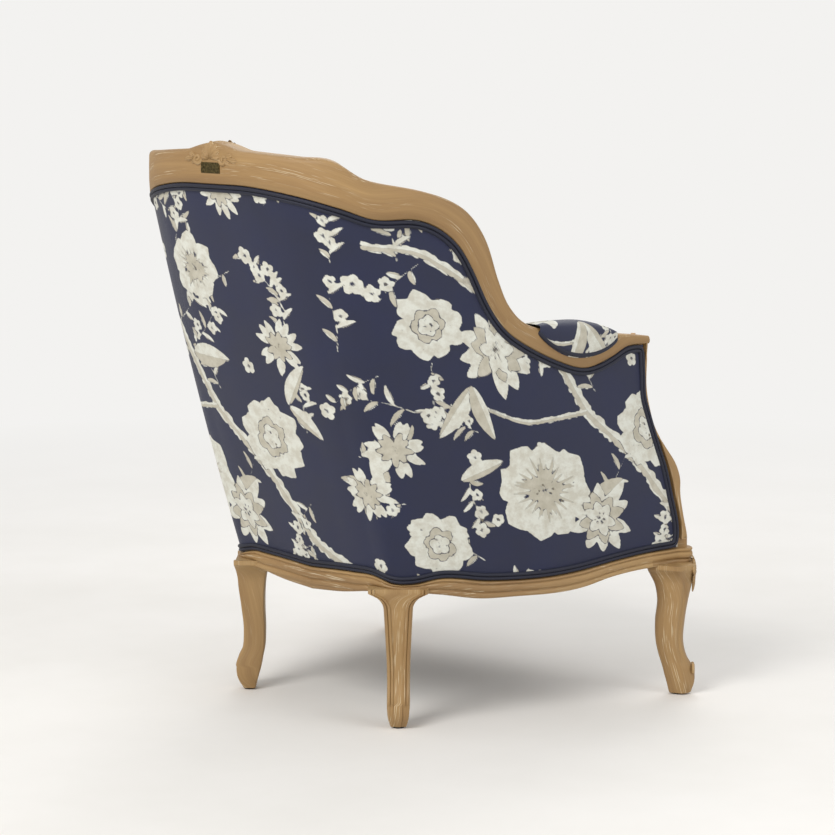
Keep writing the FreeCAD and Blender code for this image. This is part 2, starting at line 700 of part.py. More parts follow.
def spring_clip(place, heading):
    """A folded clip on the rail, with its back away from the spring's run."""
    t, gap = CLIP_THICKNESS, SPRING_WIRE + SPRING_FIT
    back = -(SPRING_WIRE / 2 + SPRING_FIT + t)
    shape = ((back, 0), (back + CLIP_REACH, 0), (back + CLIP_REACH, t), (back + t, t),
             (back + t, t + gap), (back + CLIP_REACH * 0.8, t + gap),
             (back + CLIP_REACH * 0.8, 2 * t + gap), (back, 2 * t + gap))
    across = V(-heading.y, heading.x, 0)
    start = place + V(0, 0, FRAME_TOP_Z) - across * (CLIP_LENGTH / 2)
    wire = closed_wire([start + heading * a + V(0, 0, z) for a, z in shape])
    return Part.Face(wire).extrude(across * CLIP_LENGTH)


def springs_and_clips():
    springs, clips = [], []
    for start, end in spring_ends():
        springs.append(zigzag_spring(start, end))
        heading = (end - start).normalize()
        clips += [spring_clip(start, heading), spring_clip(end, heading * -1)]
    springs += [mirrored(s) for s in springs]
    clips += [mirrored(c) for c in clips]
    return springs, clips


def corner_block(line_a, key_a, way_a, line_b, key_b, way_b):
    """A glued block across the inside of a corner, from one rail past the leg to the other."""
    n = RAIL_THICKNESS + LAYER_GAP
    a_far = key_a + way_a * BLOCK_LEG / line_a.length
    b_far = key_b + way_b * BLOCK_LEG / line_b.length
    points = [offset_point(line_a, u, n) for u in stations(a_far, key_a, 5)]
    points += [offset_point(line_b, u, n) for u in stations(key_b, b_far, 5)]
    face = Part.Face(closed_wire([V(x, y, BLOCK_LOW_Z) for x, y in points]))
    return face.extrude(V(0, 0, BLOCK_HEIGHT))


def block_screw(line, key):
    """A screw through a corner block into the rail, with its head on the block."""
    x, y = offset_point(line, key, 0)
    way = V(*inward(line, key), 0)
    tip = V(x, y, BLOCK_LOW_Z + BLOCK_HEIGHT / 2) + way * SCREW_TIP_DEPTH
    shank = Part.makeCylinder(SCREW_RADIUS, SCREW_LENGTH, tip, way)
    head = Part.makeCylinder(SCREW_HEAD_RADIUS, SCREW_HEAD_HEIGHT, tip + way * SCREW_LENGTH, way)
    return shank.fuse(head).removeSplitter()


def dowel(middle, way, grow=0.0):
    """A dowel across a joint; its hole is the same, a little larger."""
    half = DOWEL_LENGTH / 2 + grow * 5
    return Part.makeCylinder(DOWEL_RADIUS + grow, half * 2, middle - way * half, way)


def rail_joint(line, key):
    """Middle and direction of the two dowels where a rail meets a leg's head."""
    x, y = offset_point(line, key, REBATE + (RAIL_THICKNESS - REBATE) / 2)
    dx, dy = line.heading(key)
    z = FRAME_TOP_Z - DOWEL_RADIUS * 2.4
    return [(V(x, y, z), V(dx, dy, 0)), (V(x, y, z - DOWEL_SPACING), V(dx, dy, 0))]


def top_joint(t):
    low, up, way = top_pair(t)
    next_low, next_up, _ = top_pair(t + 0.05)
    heading = (next_low + next_up - low - up).normalize()
    middle = low + (up - low) * 0.5 + way * (TOP_THICKNESS / 2)
    apart = (up - low) * 0.2
    return [(middle + apart, heading), (middle - apart, heading)]


def left_joints():
    """Every dowel on the left side."""
    joints = rail_joint(RAIL, REAR_LEG_SPAN[0]) + rail_joint(RAIL, REAR_LEG_SPAN[1])
    joints += rail_joint(RAIL, FRONT_LEG_START) + rail_joint(FRONT, FRONT_LEG_END)
    joints += top_joint(CREST_END) + top_joint(SHOULDER_END)
    middle = sum(REAR_LEG_SPAN) / 2
    centre = REBATE + FRAME_LAYER / 2
    for z in (FRAME_TOP_Z, top_edge(middle) - TONGUE):
        way = (wall_at(middle, z + 5, centre) - wall_at(middle, z - 5, centre)).normalize()
        joints.append((wall_at(middle, z, centre), way))
    for z in (FRAME_TOP_Z, lower_z(0)):
        x = wall_at(1.0, z, 0).x - REBATE - FRAME_LAYER / 2
        joints.append((V(x, support_front_y(z) + SUPPORT_DEPTH / 2, z), V(0, 0, 1)))
    return joints


def rear_leg():
    start, end = REAR_LEG_SPAN
    spread = stations(start, end, 9)
    outer = [RAIL.at(u) for u in spread]
    behind = [offset_point(RAIL, u, REBATE) for u in spread]
    back = [offset_point(RAIL, end, RAIL_THICKNESS), offset_point(RAIL, start, RAIL_THICKNESS)]
    head = plan_block(outer + back, behind + back, rail_top(sum(REAR_LEG_SPAN) / 2))
    heading = (math.sqrt(0.5), math.sqrt(0.5))
    return head.fuse(cabriole(REAR_LEG, REAR_FOOT, heading)).removeSplitter()


def front_leg():
    side_keys = stations(FRONT_LEG_START, 1.0, 4)
    front_keys = stations(0.0, FRONT_LEG_END, 9)[1:]
    outer = [RAIL.at(u) for u in side_keys] + [FRONT.at(w) for w in front_keys]
    behind = [offset_point(RAIL, u, REBATE) for u in side_keys[:-1]]
    corner_x, corner_y = FRONT.at(0.16)
    behind += [(corner_x - REBATE * 1.7, corner_y)]
    behind += [offset_point(FRONT, w, REBATE) for w in front_keys[-3:]]
    back = [offset_point(FRONT, FRONT_LEG_END, RAIL_THICKNESS),
            offset_point(RAIL, FRONT_LEG_START, RAIL_THICKNESS)]
    head = plan_block(outer + back, behind + back, rail_top(1))
    heading = (math.sqrt(0.5), -math.sqrt(0.5))
    return head.fuse(cabriole(FRONT_LEG, FRONT_FOOT, heading)).removeSplitter()


def glide_centre(profile, foot, heading):
    outer, inner = profile[0][1], profile[0][2]
    shift = (outer + inner) / 2
    return V(foot[0] + heading[0] * shift, foot[1] + heading[1] * shift, 0)


def glides():
    """A nail-on glide under each foot; its pin goes up into the wood."""
    diagonal = math.sqrt(0.5)
    places = [glide_centre(REAR_LEG, REAR_FOOT, (diagonal, diagonal)),
              glide_centre(FRONT_LEG, FRONT_FOOT, (diagonal, -diagonal))]
    solids = []
    for place in places:
        disc = Part.makeCylinder(GLIDE_RADIUS, GLIDE_HEIGHT, place)
        pin = Part.makeCylinder(GLIDE_PIN_RADIUS, GLIDE_HEIGHT + GLIDE_PIN_LENGTH, place)
        solid = disc.fuse(pin).removeSplitter()
        solids += [solid, mirrored(solid)]
    return solids


def plate_and_pins():
    """A plain plate on the back of the crest, held by two pins."""
    face = TOP_REAR_Y + PLATE_GAP
    low = V(-PLATE_WIDTH / 2, face, PLATE_Z - PLATE_HEIGHT / 2)
    plate = Part.makeBox(PLATE_WIDTH, PLATE_THICKNESS, PLATE_HEIGHT, low)
    pins = []
    for side in (-1, 1):
        place = V(side * (PLATE_WIDTH / 2 - 4), face + PLATE_THICKNESS, PLATE_Z)
        shank = Part.makeCylinder(PLATE_PIN_RADIUS, PLATE_PIN_LENGTH, place, V(0, -1, 0))
        head = Part.makeCylinder(PLATE_PIN_RADIUS * 1.7, PLATE_THICKNESS * 0.5, place, V(0, 1, 0))
        pins.append(shank.fuse(head).removeSplitter())
        plate = plate.cut(shank)
    return plate, pins


def arm_pad():
    """The small pad that saddles the arm, deepest in its middle."""
    wires = []
    start, end = ARM_PAD_SPAN
    for i, u in enumerate(stations(start, end, 9)):
        share = math.sin(math.pi * mix(0.06, 0.94, i / 8)) ** 0.6
        t = pair_of(u)
        low, up, way = top_pair(t)
        rise = (up - low).normalize()
        drop, top, side = ARM_PAD_DROP * share, ARM_PAD_THICKNESS * share, ARM_PAD_SIDE * share
        near, far, seat = -ARM_PAD_FIT, TOP_THICKNESS + ARM_PAD_FIT, ARM_PAD_FIT
        shape = ((-drop, near), (-drop + side, near - side), (top * 0.4, near - side),
                 (top * 0.85, side), (top, far / 2), (top * 0.85, far - side),
                 (top * 0.4, far + side), (-drop + side, far + side), (-drop, far),
                 (seat, far), (seat, near))
        shape = [(max(w, -(up - low).Length * 0.92), n) for w, n in shape]
        wires.append(closed_wire([up + rise * w + way * n for w, n in shape]))
    return loft(wires)


def pair_of(u):
    low, high = 0.0, ARM_END
    for _ in range(30):
        middle = (low + high) / 2
        if UPPER_PAIR.value(middle) < u:
            low = middle
        else:
            high = middle
    return low


def outside_welt():
    """Double piping round the outside cover: along the top rail, down the arm fronts and
    along the seat rail."""
    face = COVER_RECESS - LAYER_GAP
    proud = face - WELT_PROUD
    across = WELT_WIDTH / RAIL.length

    def under(u):
        return top_edge(u) - EDGE_GAP

    def over(u):
        return rail_top(u) + EDGE_GAP

    def low_edge(u):
        return over(u) + WELT_WIDTH * 0.7

    def high_edge(u):
        return under(u) - WELT_WIDTH

    top = wall_strip(-1, 1, 81, high_edge, under, proud, face)
    bottom = wall_strip(-1, 1, 61, over, low_edge, proud, face)
    front = wall_strip(1 - across, 1, 3, lambda u: low_edge(u) + LAYER_GAP,
                       lambda u: high_edge(u) - LAYER_GAP * 4, proud, face, rows=13)
    return [top, bottom, front, mirrored(front)]


def dust_cover():
    """The thin cloth under the seat, up against the rails' lower edges."""
    points = []
    for u in stations(0, FRONT_LEG_START, 12):
        points.append(offset_point(RAIL, u, RAIL_THICKNESS + DUST_COVER_GAP))
    for w in stations(FRONT_LEG_END, 1, 5):
        points.append(offset_point(FRONT, w, RAIL_THICKNESS + DUST_COVER_GAP))
    points += [(-x, y) for x, y in reversed(points[1:-1])]
    face = Part.Face(closed_wire([V(x, y, DUST_COVER_Z) for x, y in points]))
    return face.extrude(V(0, 0, DUST_COVER_THICKNESS))


def both(name, shape, shapes):
    shapes["left_" + name] = shape
    shapes["right_" + name] = mirrored(shape)


def wood(shapes):
    shapes["rear_seat_rail"] = rail_piece(RAIL, -REAR_LEG_SPAN[0], REAR_LEG_SPAN[0], 9,
                                          rail_top, rail_bottom)
    shapes["front_seat_rail"] = front_rail()
    side = rail_piece(RAIL, REAR_LEG_SPAN[1], FRONT_LEG_START, 9, rail_top, rail_bottom)
    both("seat_rail", side, shapes)
    both("rear_leg", rear_leg(), shapes)
    both("front_leg", front_leg(), shapes)
    shapes["crest_rail"] = crest_rail()
    both("shoulder_rail", top_piece(CREST_END, SHOULDER_END, 33), shapes)
    both("arm_rail", top_piece(SHOULDER_END, ARM_END, 25), shapes)
    support = arm_support().cut(shapes["left_arm_rail"])
    both("arm_support", support, shapes)
    both("back_post", back_post().cut(shapes["left_shoulder_rail"]), shapes)
    start, end = post_span()
    shapes["back_stay_rail"] = stay(-start, start, 25)
    both("arm_stay_rail", stay(end, ARM_STAY_END, 25).cut(support), shapes)
    blocks = [corner_block(RAIL, REAR_LEG_SPAN[0], -1, RAIL, REAR_LEG_SPAN[1], 1),
              corner_block(RAIL, FRONT_LEG_START, -1, FRONT, FRONT_LEG_END, 1)]
    shapes["corner_blocks"] = Part.Compound(blocks + [mirrored(b) for b in blocks])


def fastenings(shapes):
    """Dowels and screws, and their holes in every piece of wood."""
    joints = left_joints()
    pegs = [dowel(*j) for j in joints]
    holes = [dowel(*j, grow=DOWEL_FIT) for j in joints]
    half = BLOCK_LEG / 2
    screws = [block_screw(RAIL, REAR_LEG_SPAN[0] - half / RAIL.length),
              block_screw(RAIL, REAR_LEG_SPAN[1] + half / RAIL.length),
              block_screw(RAIL, FRONT_LEG_START - half / RAIL.length),
              block_screw(FRONT, FRONT_LEG_END + half / FRONT.length)]
    screws += [mirrored(s) for s in screws]
    tools = holes + [mirrored(h) for h in holes] + screws
    for name, shape in list(shapes.items()):
        near = [t for t in tools if t.BoundBox.intersect(shape.BoundBox)]
        shapes[name] = shape.cut(Part.Compound(near)) if near else shape
    shapes["frame_dowels"] = Part.Compound(pegs + [mirrored(p) for p in pegs])
    shapes["block_screws"] = Part.Compound(screws)


def front_rail():
    wires = []
    for w in stations(FRONT_LEG_END, 2 - FRONT_LEG_END, 13):
        a, side = (w, 1) if w <= 1 else (2 - w, -1)
        bottom = mix(rail_bottom(1), RAIL_BOTTOM_Z, math.sin(math.pi / 2 * a) ** 2)
        corners = ((0, bottom), (0, rail_top(1)), (REBATE, rail_top(1)), (REBATE, FRAME_TOP_Z),
                   (RAIL_THICKNESS, FRAME_TOP_Z), (RAIL_THICKNESS, bottom))
        points = [(offset_point(FRONT, a, n), z) for n, z in corners]
        wires.append(closed_wire([V(p[0] * side, p[1], z) for p, z in points]))
    return loft(wires)


def upholstery(shapes):
    shapes["outside_cover"] = wall_strip(-1, 1, 81, lambda u: rail_top(u) + EDGE_GAP,
                                         lambda u: top_edge(u) - EDGE_GAP, COVER_RECESS,
                                         COVER_RECESS + COVER_THICKNESS, rows=13)
    shapes["outside_welt"] = Part.Compound(outside_welt())
    shapes["inside_back_pad"] = inside_pad(-BACK_PAD_END, BACK_PAD_END, 41, BACK_CROWN)
    both("inside_arm_pad", inside_pad(ARM_PAD_START, INSIDE_ARM_END, 27, ARM_CROWN), shapes)
    both("arm_pad", arm_pad(), shapes)
    springs, clips = springs_and_clips()
    shapes["seat_springs"] = Part.Compound(springs)
    shapes["spring_clips"] = Part.Compound(clips)
    shapes["deck_pad"] = deck_pad()
    shapes["front_border"] = front_border()
    shapes["dust_cover"] = dust_cover()
    shapes["seat_cushion"] = seat_cushion()


def trim(shapes):
    feet = glides()
    shapes["foot_glides"] = Part.Compound(feet)
    for name in ("left_rear_leg", "right_rear_leg", "left_front_leg", "right_front_leg"):
        shapes[name] = shapes[name].cut(shapes["foot_glides"])
    plate, pins = plate_and_pins()
    shapes["crest_plate"] = plate
    shapes["plate_pins"] = Part.Compound(pins)
    shapes["crest_rail"] = shapes["crest_rail"].cut(shapes["plate_pins"])


def main():
    shapes = {}
    wood(shapes)
    fastenings(shapes)
    upholstery(shapes)
    trim(shapes)
    os.makedirs("parts", exist_ok=True)
    for name, shape in shapes.items():
        box = shape.BoundBox
        size = [round(v) for v in (box.XMin, box.XMax, box.YMin, box.YMax, box.ZMin, box.ZMax)]
        print(name, shape.isValid(), len(shape.Solids), round(shape.Volume / 1e3, 1), size)
        shape.exportStep("parts/" + name + ".step")


main()
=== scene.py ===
"""Looks of the upholstered armchair: show wood, printed cover, pads, cushion, light and camera.

Metres. Half outlines run from the middle of the back round one side to the front, as in the
CAD source; negative u is the chair's right side (-X).
"""
import math
import random

import bmesh
import bpy
import numpy as np
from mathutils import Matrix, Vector, noise


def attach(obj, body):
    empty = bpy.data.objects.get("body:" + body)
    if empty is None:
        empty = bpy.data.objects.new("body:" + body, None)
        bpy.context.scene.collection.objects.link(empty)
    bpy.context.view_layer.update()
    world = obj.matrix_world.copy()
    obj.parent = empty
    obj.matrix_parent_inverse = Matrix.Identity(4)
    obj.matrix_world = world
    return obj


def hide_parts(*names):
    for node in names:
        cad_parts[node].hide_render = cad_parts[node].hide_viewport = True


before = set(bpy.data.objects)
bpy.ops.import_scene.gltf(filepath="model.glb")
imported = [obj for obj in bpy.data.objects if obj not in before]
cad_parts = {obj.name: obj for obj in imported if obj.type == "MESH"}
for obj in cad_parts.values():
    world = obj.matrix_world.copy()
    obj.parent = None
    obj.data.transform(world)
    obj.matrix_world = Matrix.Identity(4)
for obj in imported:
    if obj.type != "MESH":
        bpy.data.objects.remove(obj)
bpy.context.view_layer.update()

# Sizes and outlines of the CAD source, in millimetres
SEAT_HALF_WIDTH, SEAT_REAR_Y, SEAT_CORNER_Y, SEAT_FRONT_Y = 357.0, 190.0, -330.0, -397.0
RAIL_TOP_Z, RAIL_BOTTOM_Z, RAIL_WAVE, RAIL_THICKNESS, FRAME_TOP_Z = 235.0, 205.0, 20.0, 45.0, 272.0
TOP_HALF_WIDTH, TOP_REAR_Y, ARM_FRONT_Y = 345.0, 398.0, -264.0
CREST_Z, ARM_Z, CREST_HEIGHT, ARM_HEIGHT, TOP_THICKNESS = 948.0, 631.0, 58.0, 20.0, 40.0
SUPPORT_DEPTH, REAR_FOOT, FRONT_FOOT, GLIDE_HEIGHT = 38.0, (186.0, 166.0), (357.0, -342.0), 3.0
COVER_RECESS, PAD_THICKNESS, BACK_CROWN, ARM_CROWN, WALL_BULGE = 3.0, 19.0, 24.0, 12.0, 5.0
PAD_BACK, PAD_LOW_Z, PAD_BEND, PAD_STEPS = 33.0, 284.0, 0.10, 40
PAD_EDGE_GAP, PAD_EDGE_REACH, EDGE_GAP = 5.0, 0.022, 2.0
RAIL_PLAN = ((0, 1), (0.22, 1), (0.42, 0.997), (0.545, 0.980), (0.605, 0.925), (0.652, 0.845),
             (0.70, 0.745), (0.76, 0.63), (0.826, 0.505), (0.877, 0.377), (0.93, 0.235),
             (0.97, 0.115), (1, 0))
TOP_PLAN = ((0, 1), (0.29, 0.994), (0.493, 0.968), (0.623, 0.929), (0.725, 0.869), (0.797, 0.793),
            (0.87, 0.695), (0.942, 0.529), (0.986, 0.347), (1, 0.196), (1, 0))
FRONT_PLAN = ((1, 0), (1.029, 0.28), (1.002, 0.52), (0.90, 0.585), (0.72, 0.73), (0.48, 0.88),
              (0.24, 0.97), (0, 1))
RAIL_TOP_WAVE = ((0, 0.45), (0.14, 0.75), (0.20, 0.80), (0.26, 0.30), (0.31, 0.25), (0.36, 0.55),
                 (0.49, 0), (0.72, 0.06), (0.82, 0.58), (0.91, 0.92), (1, 1))
RAIL_BOTTOM_WAVE = ((0, 0.1), (0.10, 0.4), (0.20, 0.95), (0.30, 1.1), (0.37, 0.75), (0.47, 0.1),
                    (0.56, 0), (0.74, 0.2), (0.81, 0.75), (0.90, 1.1), (1, 1.1))
TOP_LOWER = ((0, 1), (0.10, 0.996), (0.20, 0.955), (0.283, 0.89), (0.35, 0.822), (0.425, 0.818),
             (0.473, 0.768), (0.515, 0.668), (0.545, 0.525), (0.578, 0.33), (0.615, 0.182),
             (0.665, 0.075), (0.747, -0.04), (0.82, -0.10), (0.89, -0.055), (0.94, 0.0), (1, 0))
TOP_UPPER = ((0, 1), (0.12, 0.981), (0.20, 0.967), (0.272, 0.951), (0.336, 0.858), (0.435, 0.802),
             (0.50, 0.747), (0.545, 0.668), (0.580, 0.535), (0.606, 0.345), (0.632, 0.205),
             (0.675, 0.105), (0.747, 0.055), (0.82, 0.035), (0.89, 0.015), (0.94, 0), (1, -0.02))
SUPPORT_FRONT = ((1, 0), (0.90, -0.10), (0.79, -0.14), (0.70, -0.05), (0.59, 0.18), (0.50, 0.56),
                 (0.42, 0.92), (0.34, 1.11), (0.27, 1.12), (0.16, 1.25), (0.05, 1.42), (0, 1.45))
COVER_FRONT = ((1, -0.20), (0.84, -0.23), (0.76, -0.24), (0.65, -0.04), (0.51, 0.28), (0.41, 0.53),
               (0.27, 0.78), (0.08, 1.06), (0, 1.02))
REAR_LEG = ((0, 12.5, -9, 13), (16, 21.5, -13, 17), (36, 24, -18.5, 18.5), (52, 20.5, -21.5, 18.5),
            (70, 12.2, -25, 18.5), (101, 9, -26.6, 19), (145, 12.7, -25.5, 21), (184, 17.5, -27, 23),
            (216, 19, -32, 25))
FRONT_LEG = ((0, 15.5, -20, 16), (16, 21, -24, 18), (30, 22, -28, 19), (42, 20, -31, 20),
             (64, 7.5, -38, 20), (85, 2, -43, 20), (125, 3.4, -45, 21), (165, 9.5, -42, 23),
             (190, 14.5, -47, 26), (216, 17, -60, 29))
REAR_LEG_SPAN = (0.228, 0.335)
FRONT_LEG_START = 0.925
FRONT_LEG_END = 0.36
CREST_END, SHOULDER_END, ARM_END = 2.0, 10.0, 16.0
BACK_PAD_END, ARM_PAD_START, INSIDE_ARM_END = 0.44, 0.45, 0.965
ARM_PAD_SPAN = (0.70, 0.905)
MM = 0.001


class Line:
    """A smooth line through chosen points, found by its key."""

    def __init__(self, points, by_first=False, level_start=False):
        if by_first:
            self.keys = [float(p[0]) for p in points]
            self.points = [tuple(p[1:]) for p in points]
        else:
            self.points = [tuple(p) for p in points]
            steps = [math.dist(a, b) for a, b in zip(self.points, self.points[1:])]
            self.length = sum(steps)
            self.keys = [sum(steps[:i]) / self.length for i in range(len(points))]
        self.slopes = [self.slope(i) for i in range(len(self.keys))]
        if level_start:
            self.slopes[0] = (self.slopes[0][0],) + (0.0,) * (len(self.slopes[0]) - 1)

    def step(self, i):
        width = self.keys[i + 1] - self.keys[i]
        return width, [(b - a) / width for a, b in zip(self.points[i], self.points[i + 1])]

    def slope(self, i):
        if i == 0:
            return tuple(self.step(0)[1])
        if i == len(self.keys) - 1:
            return tuple(self.step(i - 1)[1])
        before, left = self.step(i - 1)
        after, right = self.step(i)
        return tuple((a * after + b * before) / (before + after) for a, b in zip(left, right))

    def at(self, key):
        i = 0
        while i < len(self.keys) - 2 and key > self.keys[i + 1]:
            i += 1
        width = self.keys[i + 1] - self.keys[i]
        t = (key - self.keys[i]) / width
        a, b = 2 * t ** 3 - 3 * t ** 2 + 1, 3 * t ** 2 - 2 * t ** 3
        c, d = (t ** 3 - 2 * t ** 2 + t) * width, (t ** 3 - t ** 2) * width
        parts = zip(self.points[i], self.points[i + 1], self.slopes[i], self.slopes[i + 1])
        return tuple(a * p + b * q + c * r + d * s for p, q, r, s in parts)

    def value(self, key):
        return self.at(key)[0]


def mix(a, b, share):
    return a + (b - a) * share


def smooth(x):
    x = np.clip(x, 0, 1)
    return x * x * (3 - 2 * x)


def plan_line(shape, half_width, front, rear):
    return Line([(x * half_width, mix(front, rear, y)) for x, y in shape], level_start=True)


class Path:
    """A plan line as tables: places and ways inwards, in metres, by share of its length."""

    def __init__(self, line, count=1201):
        self.keys = np.linspace(0, 1, count)
        self.xy = np.array([line.at(k) for k in self.keys]) * MM
        ahead = np.array([line.at(min(1, k + 0.002)) for k in self.keys])
        behind = np.array([line.at(max(0, k - 0.002)) for k in self.keys])
        d = ahead - behind
        d /= np.linalg.norm(d, axis=1)[:, None]
        self.inward = np.stack([d[:, 1], -d[:, 0]], 1)
        self.length = np.linalg.norm(np.diff(self.xy, axis=0), axis=1).sum()

    def pick(self, key, table):
        key = np.asarray(key, float)
        return np.stack([np.interp(key, self.keys, table[:, i]) for i in range(2)], -1)

    def at(self, key, n=0.0):
        return self.pick(key, self.xy) + self.way(key) * np.asarray(n)[..., None]

    def way(self, key):
        w = self.pick(key, self.inward)
        return w / np.linalg.norm(w, axis=-1)[..., None]


rail_line = plan_line(RAIL_PLAN, SEAT_HALF_WIDTH, SEAT_CORNER_Y, SEAT_REAR_Y)
RAIL = Path(rail_line)
TOP = Path(plan_line(TOP_PLAN, TOP_HALF_WIDTH, ARM_FRONT_Y, TOP_REAR_Y))


def pad_point(u):
    """The padding's inner layer, averaged over a stretch so that it turns the rear corner wide."""
    reach = min(PAD_BEND, 1 - u)
    keys = u + reach * np.arange(-4, 5) / 4
    p = RAIL.at(np.abs(keys), np.full(9, PAD_BACK * MM))
    return float((p[:, 0] * np.where(keys < 0, -1, 1)).mean() / MM), float(p[:, 1].mean() / MM)


PAD = Path(Line([(i / PAD_STEPS,) + pad_point(i / PAD_STEPS) for i in range(PAD_STEPS + 1)], by_first=True))
FRONT = Path(Line([(x * SEAT_HALF_WIDTH, mix(SEAT_CORNER_Y, SEAT_FRONT_Y, y)) for x, y in FRONT_PLAN]))
top_wave, bottom_wave = Line(RAIL_TOP_WAVE, by_first=True), Line(RAIL_BOTTOM_WAVE, by_first=True)
lower_pair = Line([(i,) + p for i, p in enumerate(TOP_LOWER)], by_first=True)
upper_pair = Line([(i,) + p for i, p in enumerate(TOP_UPPER)], by_first=True)
support_line, cover_line = Line(SUPPORT_FRONT[::-1], by_first=True), Line(COVER_FRONT[::-1], by_first=True)

KEYS = np.linspace(0, 1, 1201)
RAIL_TOPS = np.array([RAIL_TOP_Z + RAIL_WAVE * top_wave.value(k) for k in KEYS]) * MM
RAIL_BOTTOMS = np.array([RAIL_BOTTOM_Z + RAIL_WAVE * bottom_wave.value(k) for k in KEYS]) * MM
pairs = np.array([lower_pair.at(t) for t in np.linspace(0, ARM_END, 1601)])
TOP_EDGES = np.interp(KEYS, pairs[:, 0], pairs[:, 1]) * (CREST_Z - CREST_HEIGHT - ARM_Z + ARM_HEIGHT) * MM
TOP_EDGES += (ARM_Z - ARM_HEIGHT) * MM
SHARES = np.linspace(0, 1, 401)
COVER_YS = np.array([mix(ARM_FRONT_Y, SEAT_CORNER_Y, cover_line.value(s)) for s in SHARES]) * MM
SUPPORT_YS = np.array([mix(ARM_FRONT_Y, SEAT_CORNER_Y, support_line.value(s)) for s in SHARES]) * MM


def rail_top(u):
    return np.interp(np.abs(u), KEYS, RAIL_TOPS)


def rail_bottom(u):
    return np.interp(np.abs(u), KEYS, RAIL_BOTTOMS)


def top_edge(u):
    return np.interp(np.abs(u), KEYS, TOP_EDGES)


def front_share(z):
    return np.clip((z - rail_top(1)) / (top_edge(1) - rail_top(1)), 0, 1)


def wall(u, z, n, pad=False):
    """Points of the chair's wall, as in the CAD source: u round it, at height z, n inwards."""
    u, z, n = np.broadcast_arrays(np.asarray(u, float), np.asarray(z, float), np.asarray(n, float))
    a = np.abs(u)
    path, start = (PAD, PAD_BACK * MM) if pad else (RAIL, 0.0)
    low, high = path.at(a, -start), TOP.at(a)
    v = (z - rail_top(a)) / (top_edge(a) - rail_top(a))
    way = path.way(a) * (1 - v)[..., None] + TOP.way(a) * v[..., None]
    way /= np.linalg.norm(way, axis=-1)[..., None]
    xy = low * (1 - v)[..., None] + high * v[..., None]
    pull = np.clip((a - 0.85) / 0.15, 0, None) ** 2
    straight = (SEAT_CORNER_Y * (1 - v) + ARM_FRONT_Y * v) * MM
    xy[..., 1] += (np.interp(front_share(z), SHARES, COVER_YS) - straight) * pull
    xy += way * (n - WALL_BULGE * MM * 4 * v * (1 - v))[..., None]
    return np.stack([xy[..., 0] * np.where(u < 0, -1, 1), xy[..., 1], z], -1)


def wall_out(u, z, pad=False):
    """Unit vectors that point out of the wall."""
    u, z = np.broadcast_arrays(np.asarray(u, float), np.asarray(z, float))
    e = 0.002
    along = wall(np.clip(u + e, -1, 1), z, 0, pad) - wall(np.clip(u - e, -1, 1), z, 0, pad)
    up = wall(u, z + e, 0, pad) - wall(u, z - e, 0, pad)
    out = np.cross(along, up)
    out /= np.linalg.norm(out, axis=-1)[..., None]
    inner = wall(u, z, 0.001, pad) - wall(u, z, 0, pad)
    return np.where(((out * inner).sum(-1) > 0)[..., None], -out, out)


CREAM, BEIGE, EDGE = (1, 0, 0), (0, 1, 0), (0, 0, 1)


def new_object(name, verts, faces, material, body="chair", grain=None, ink=None):
    """A mesh object in the row frame that rides on a body. grain is a vector at each vertex:
    along the timber, across it and into it, in metres. ink is a colour at each vertex."""
    me = bpy.data.meshes.new(name)
    me.from_pydata([tuple(map(float, v)) for v in verts], [], [tuple(map(int, f)) for f in faces])
    me.polygons.foreach_set("use_smooth", [True] * len(me.polygons))
    if grain is not None:
        layer = me.attributes.new("grain", "FLOAT_VECTOR", "POINT")
        layer.data.foreach_set("vector", np.asarray(grain, np.float32).ravel())
    if ink is not None:
        layer = me.color_attributes.new("ink", "FLOAT_COLOR", "POINT")
        colour = np.concatenate([np.asarray(ink, np.float32), np.ones((len(verts), 1), np.float32)], 1)
        layer.data.foreach_set("color", colour.ravel())
    me.materials.append(material)
    me.update()
    ob = bpy.data.objects.new(name, me)
    bpy.context.scene.collection.objects.link(ob)
    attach(ob, body)
    return ob


def grid_mesh(rows, close=False, caps=False):
    """Vertices and faces of a grid of points; close joins each row's ends, caps fills the
    first and the last row."""
    rows = np.asarray(rows, float)
    m, k = rows.shape[:2]
    faces = []
    for i in range(m - 1):
        for j in range(k if close else k - 1):
            b = (j + 1) % k
            faces.append((i * k + j, i * k + b, (i + 1) * k + b, (i + 1) * k + j))
    if caps:
        faces.append(tuple(range(k))[::-1])
        faces.append(tuple(range((m - 1) * k, m * k)))
    return rows.reshape(-1, 3), faces


def joined(parts):
    """Several (vertices, faces) as one."""
    verts, faces, start = [], [], 0
    for v, f in parts:
        verts.append(np.asarray(v, float))
        faces += [tuple(i + start for i in face) for face in f]
        start += len(v)
    return np.concatenate(verts), faces


def mirrored(points):
    points = np.array(points, float)
    points[..., 0] *= -1
    return points


def turned(faces):
    return [tuple(reversed(f)) for f in faces]


def arc_lengths(points):
    return np.concatenate([[0], np.cumsum(np.linalg.norm(np.diff(points, axis=0), axis=1))])


def resampled(points, step):
    """A line of points at an even step."""
    points = np.asarray(points, float)
    s = arc_lengths(points)
    at = np.linspace(0, s[-1], max(2, int(round(s[-1] / step)) + 1))
    return np.stack([np.interp(at, s, column) for column in points.T], 1)


def rounded_line(points, step=0.002, passes=6):
    """A line through points, evenly spaced and smoothed at its corners; its ends stay."""
    line = resampled(points, step)
    for _ in range(passes):
        line[1:-1] = (line[:-2] + line[1:-1] * 2 + line[2:]) / 4
    return line


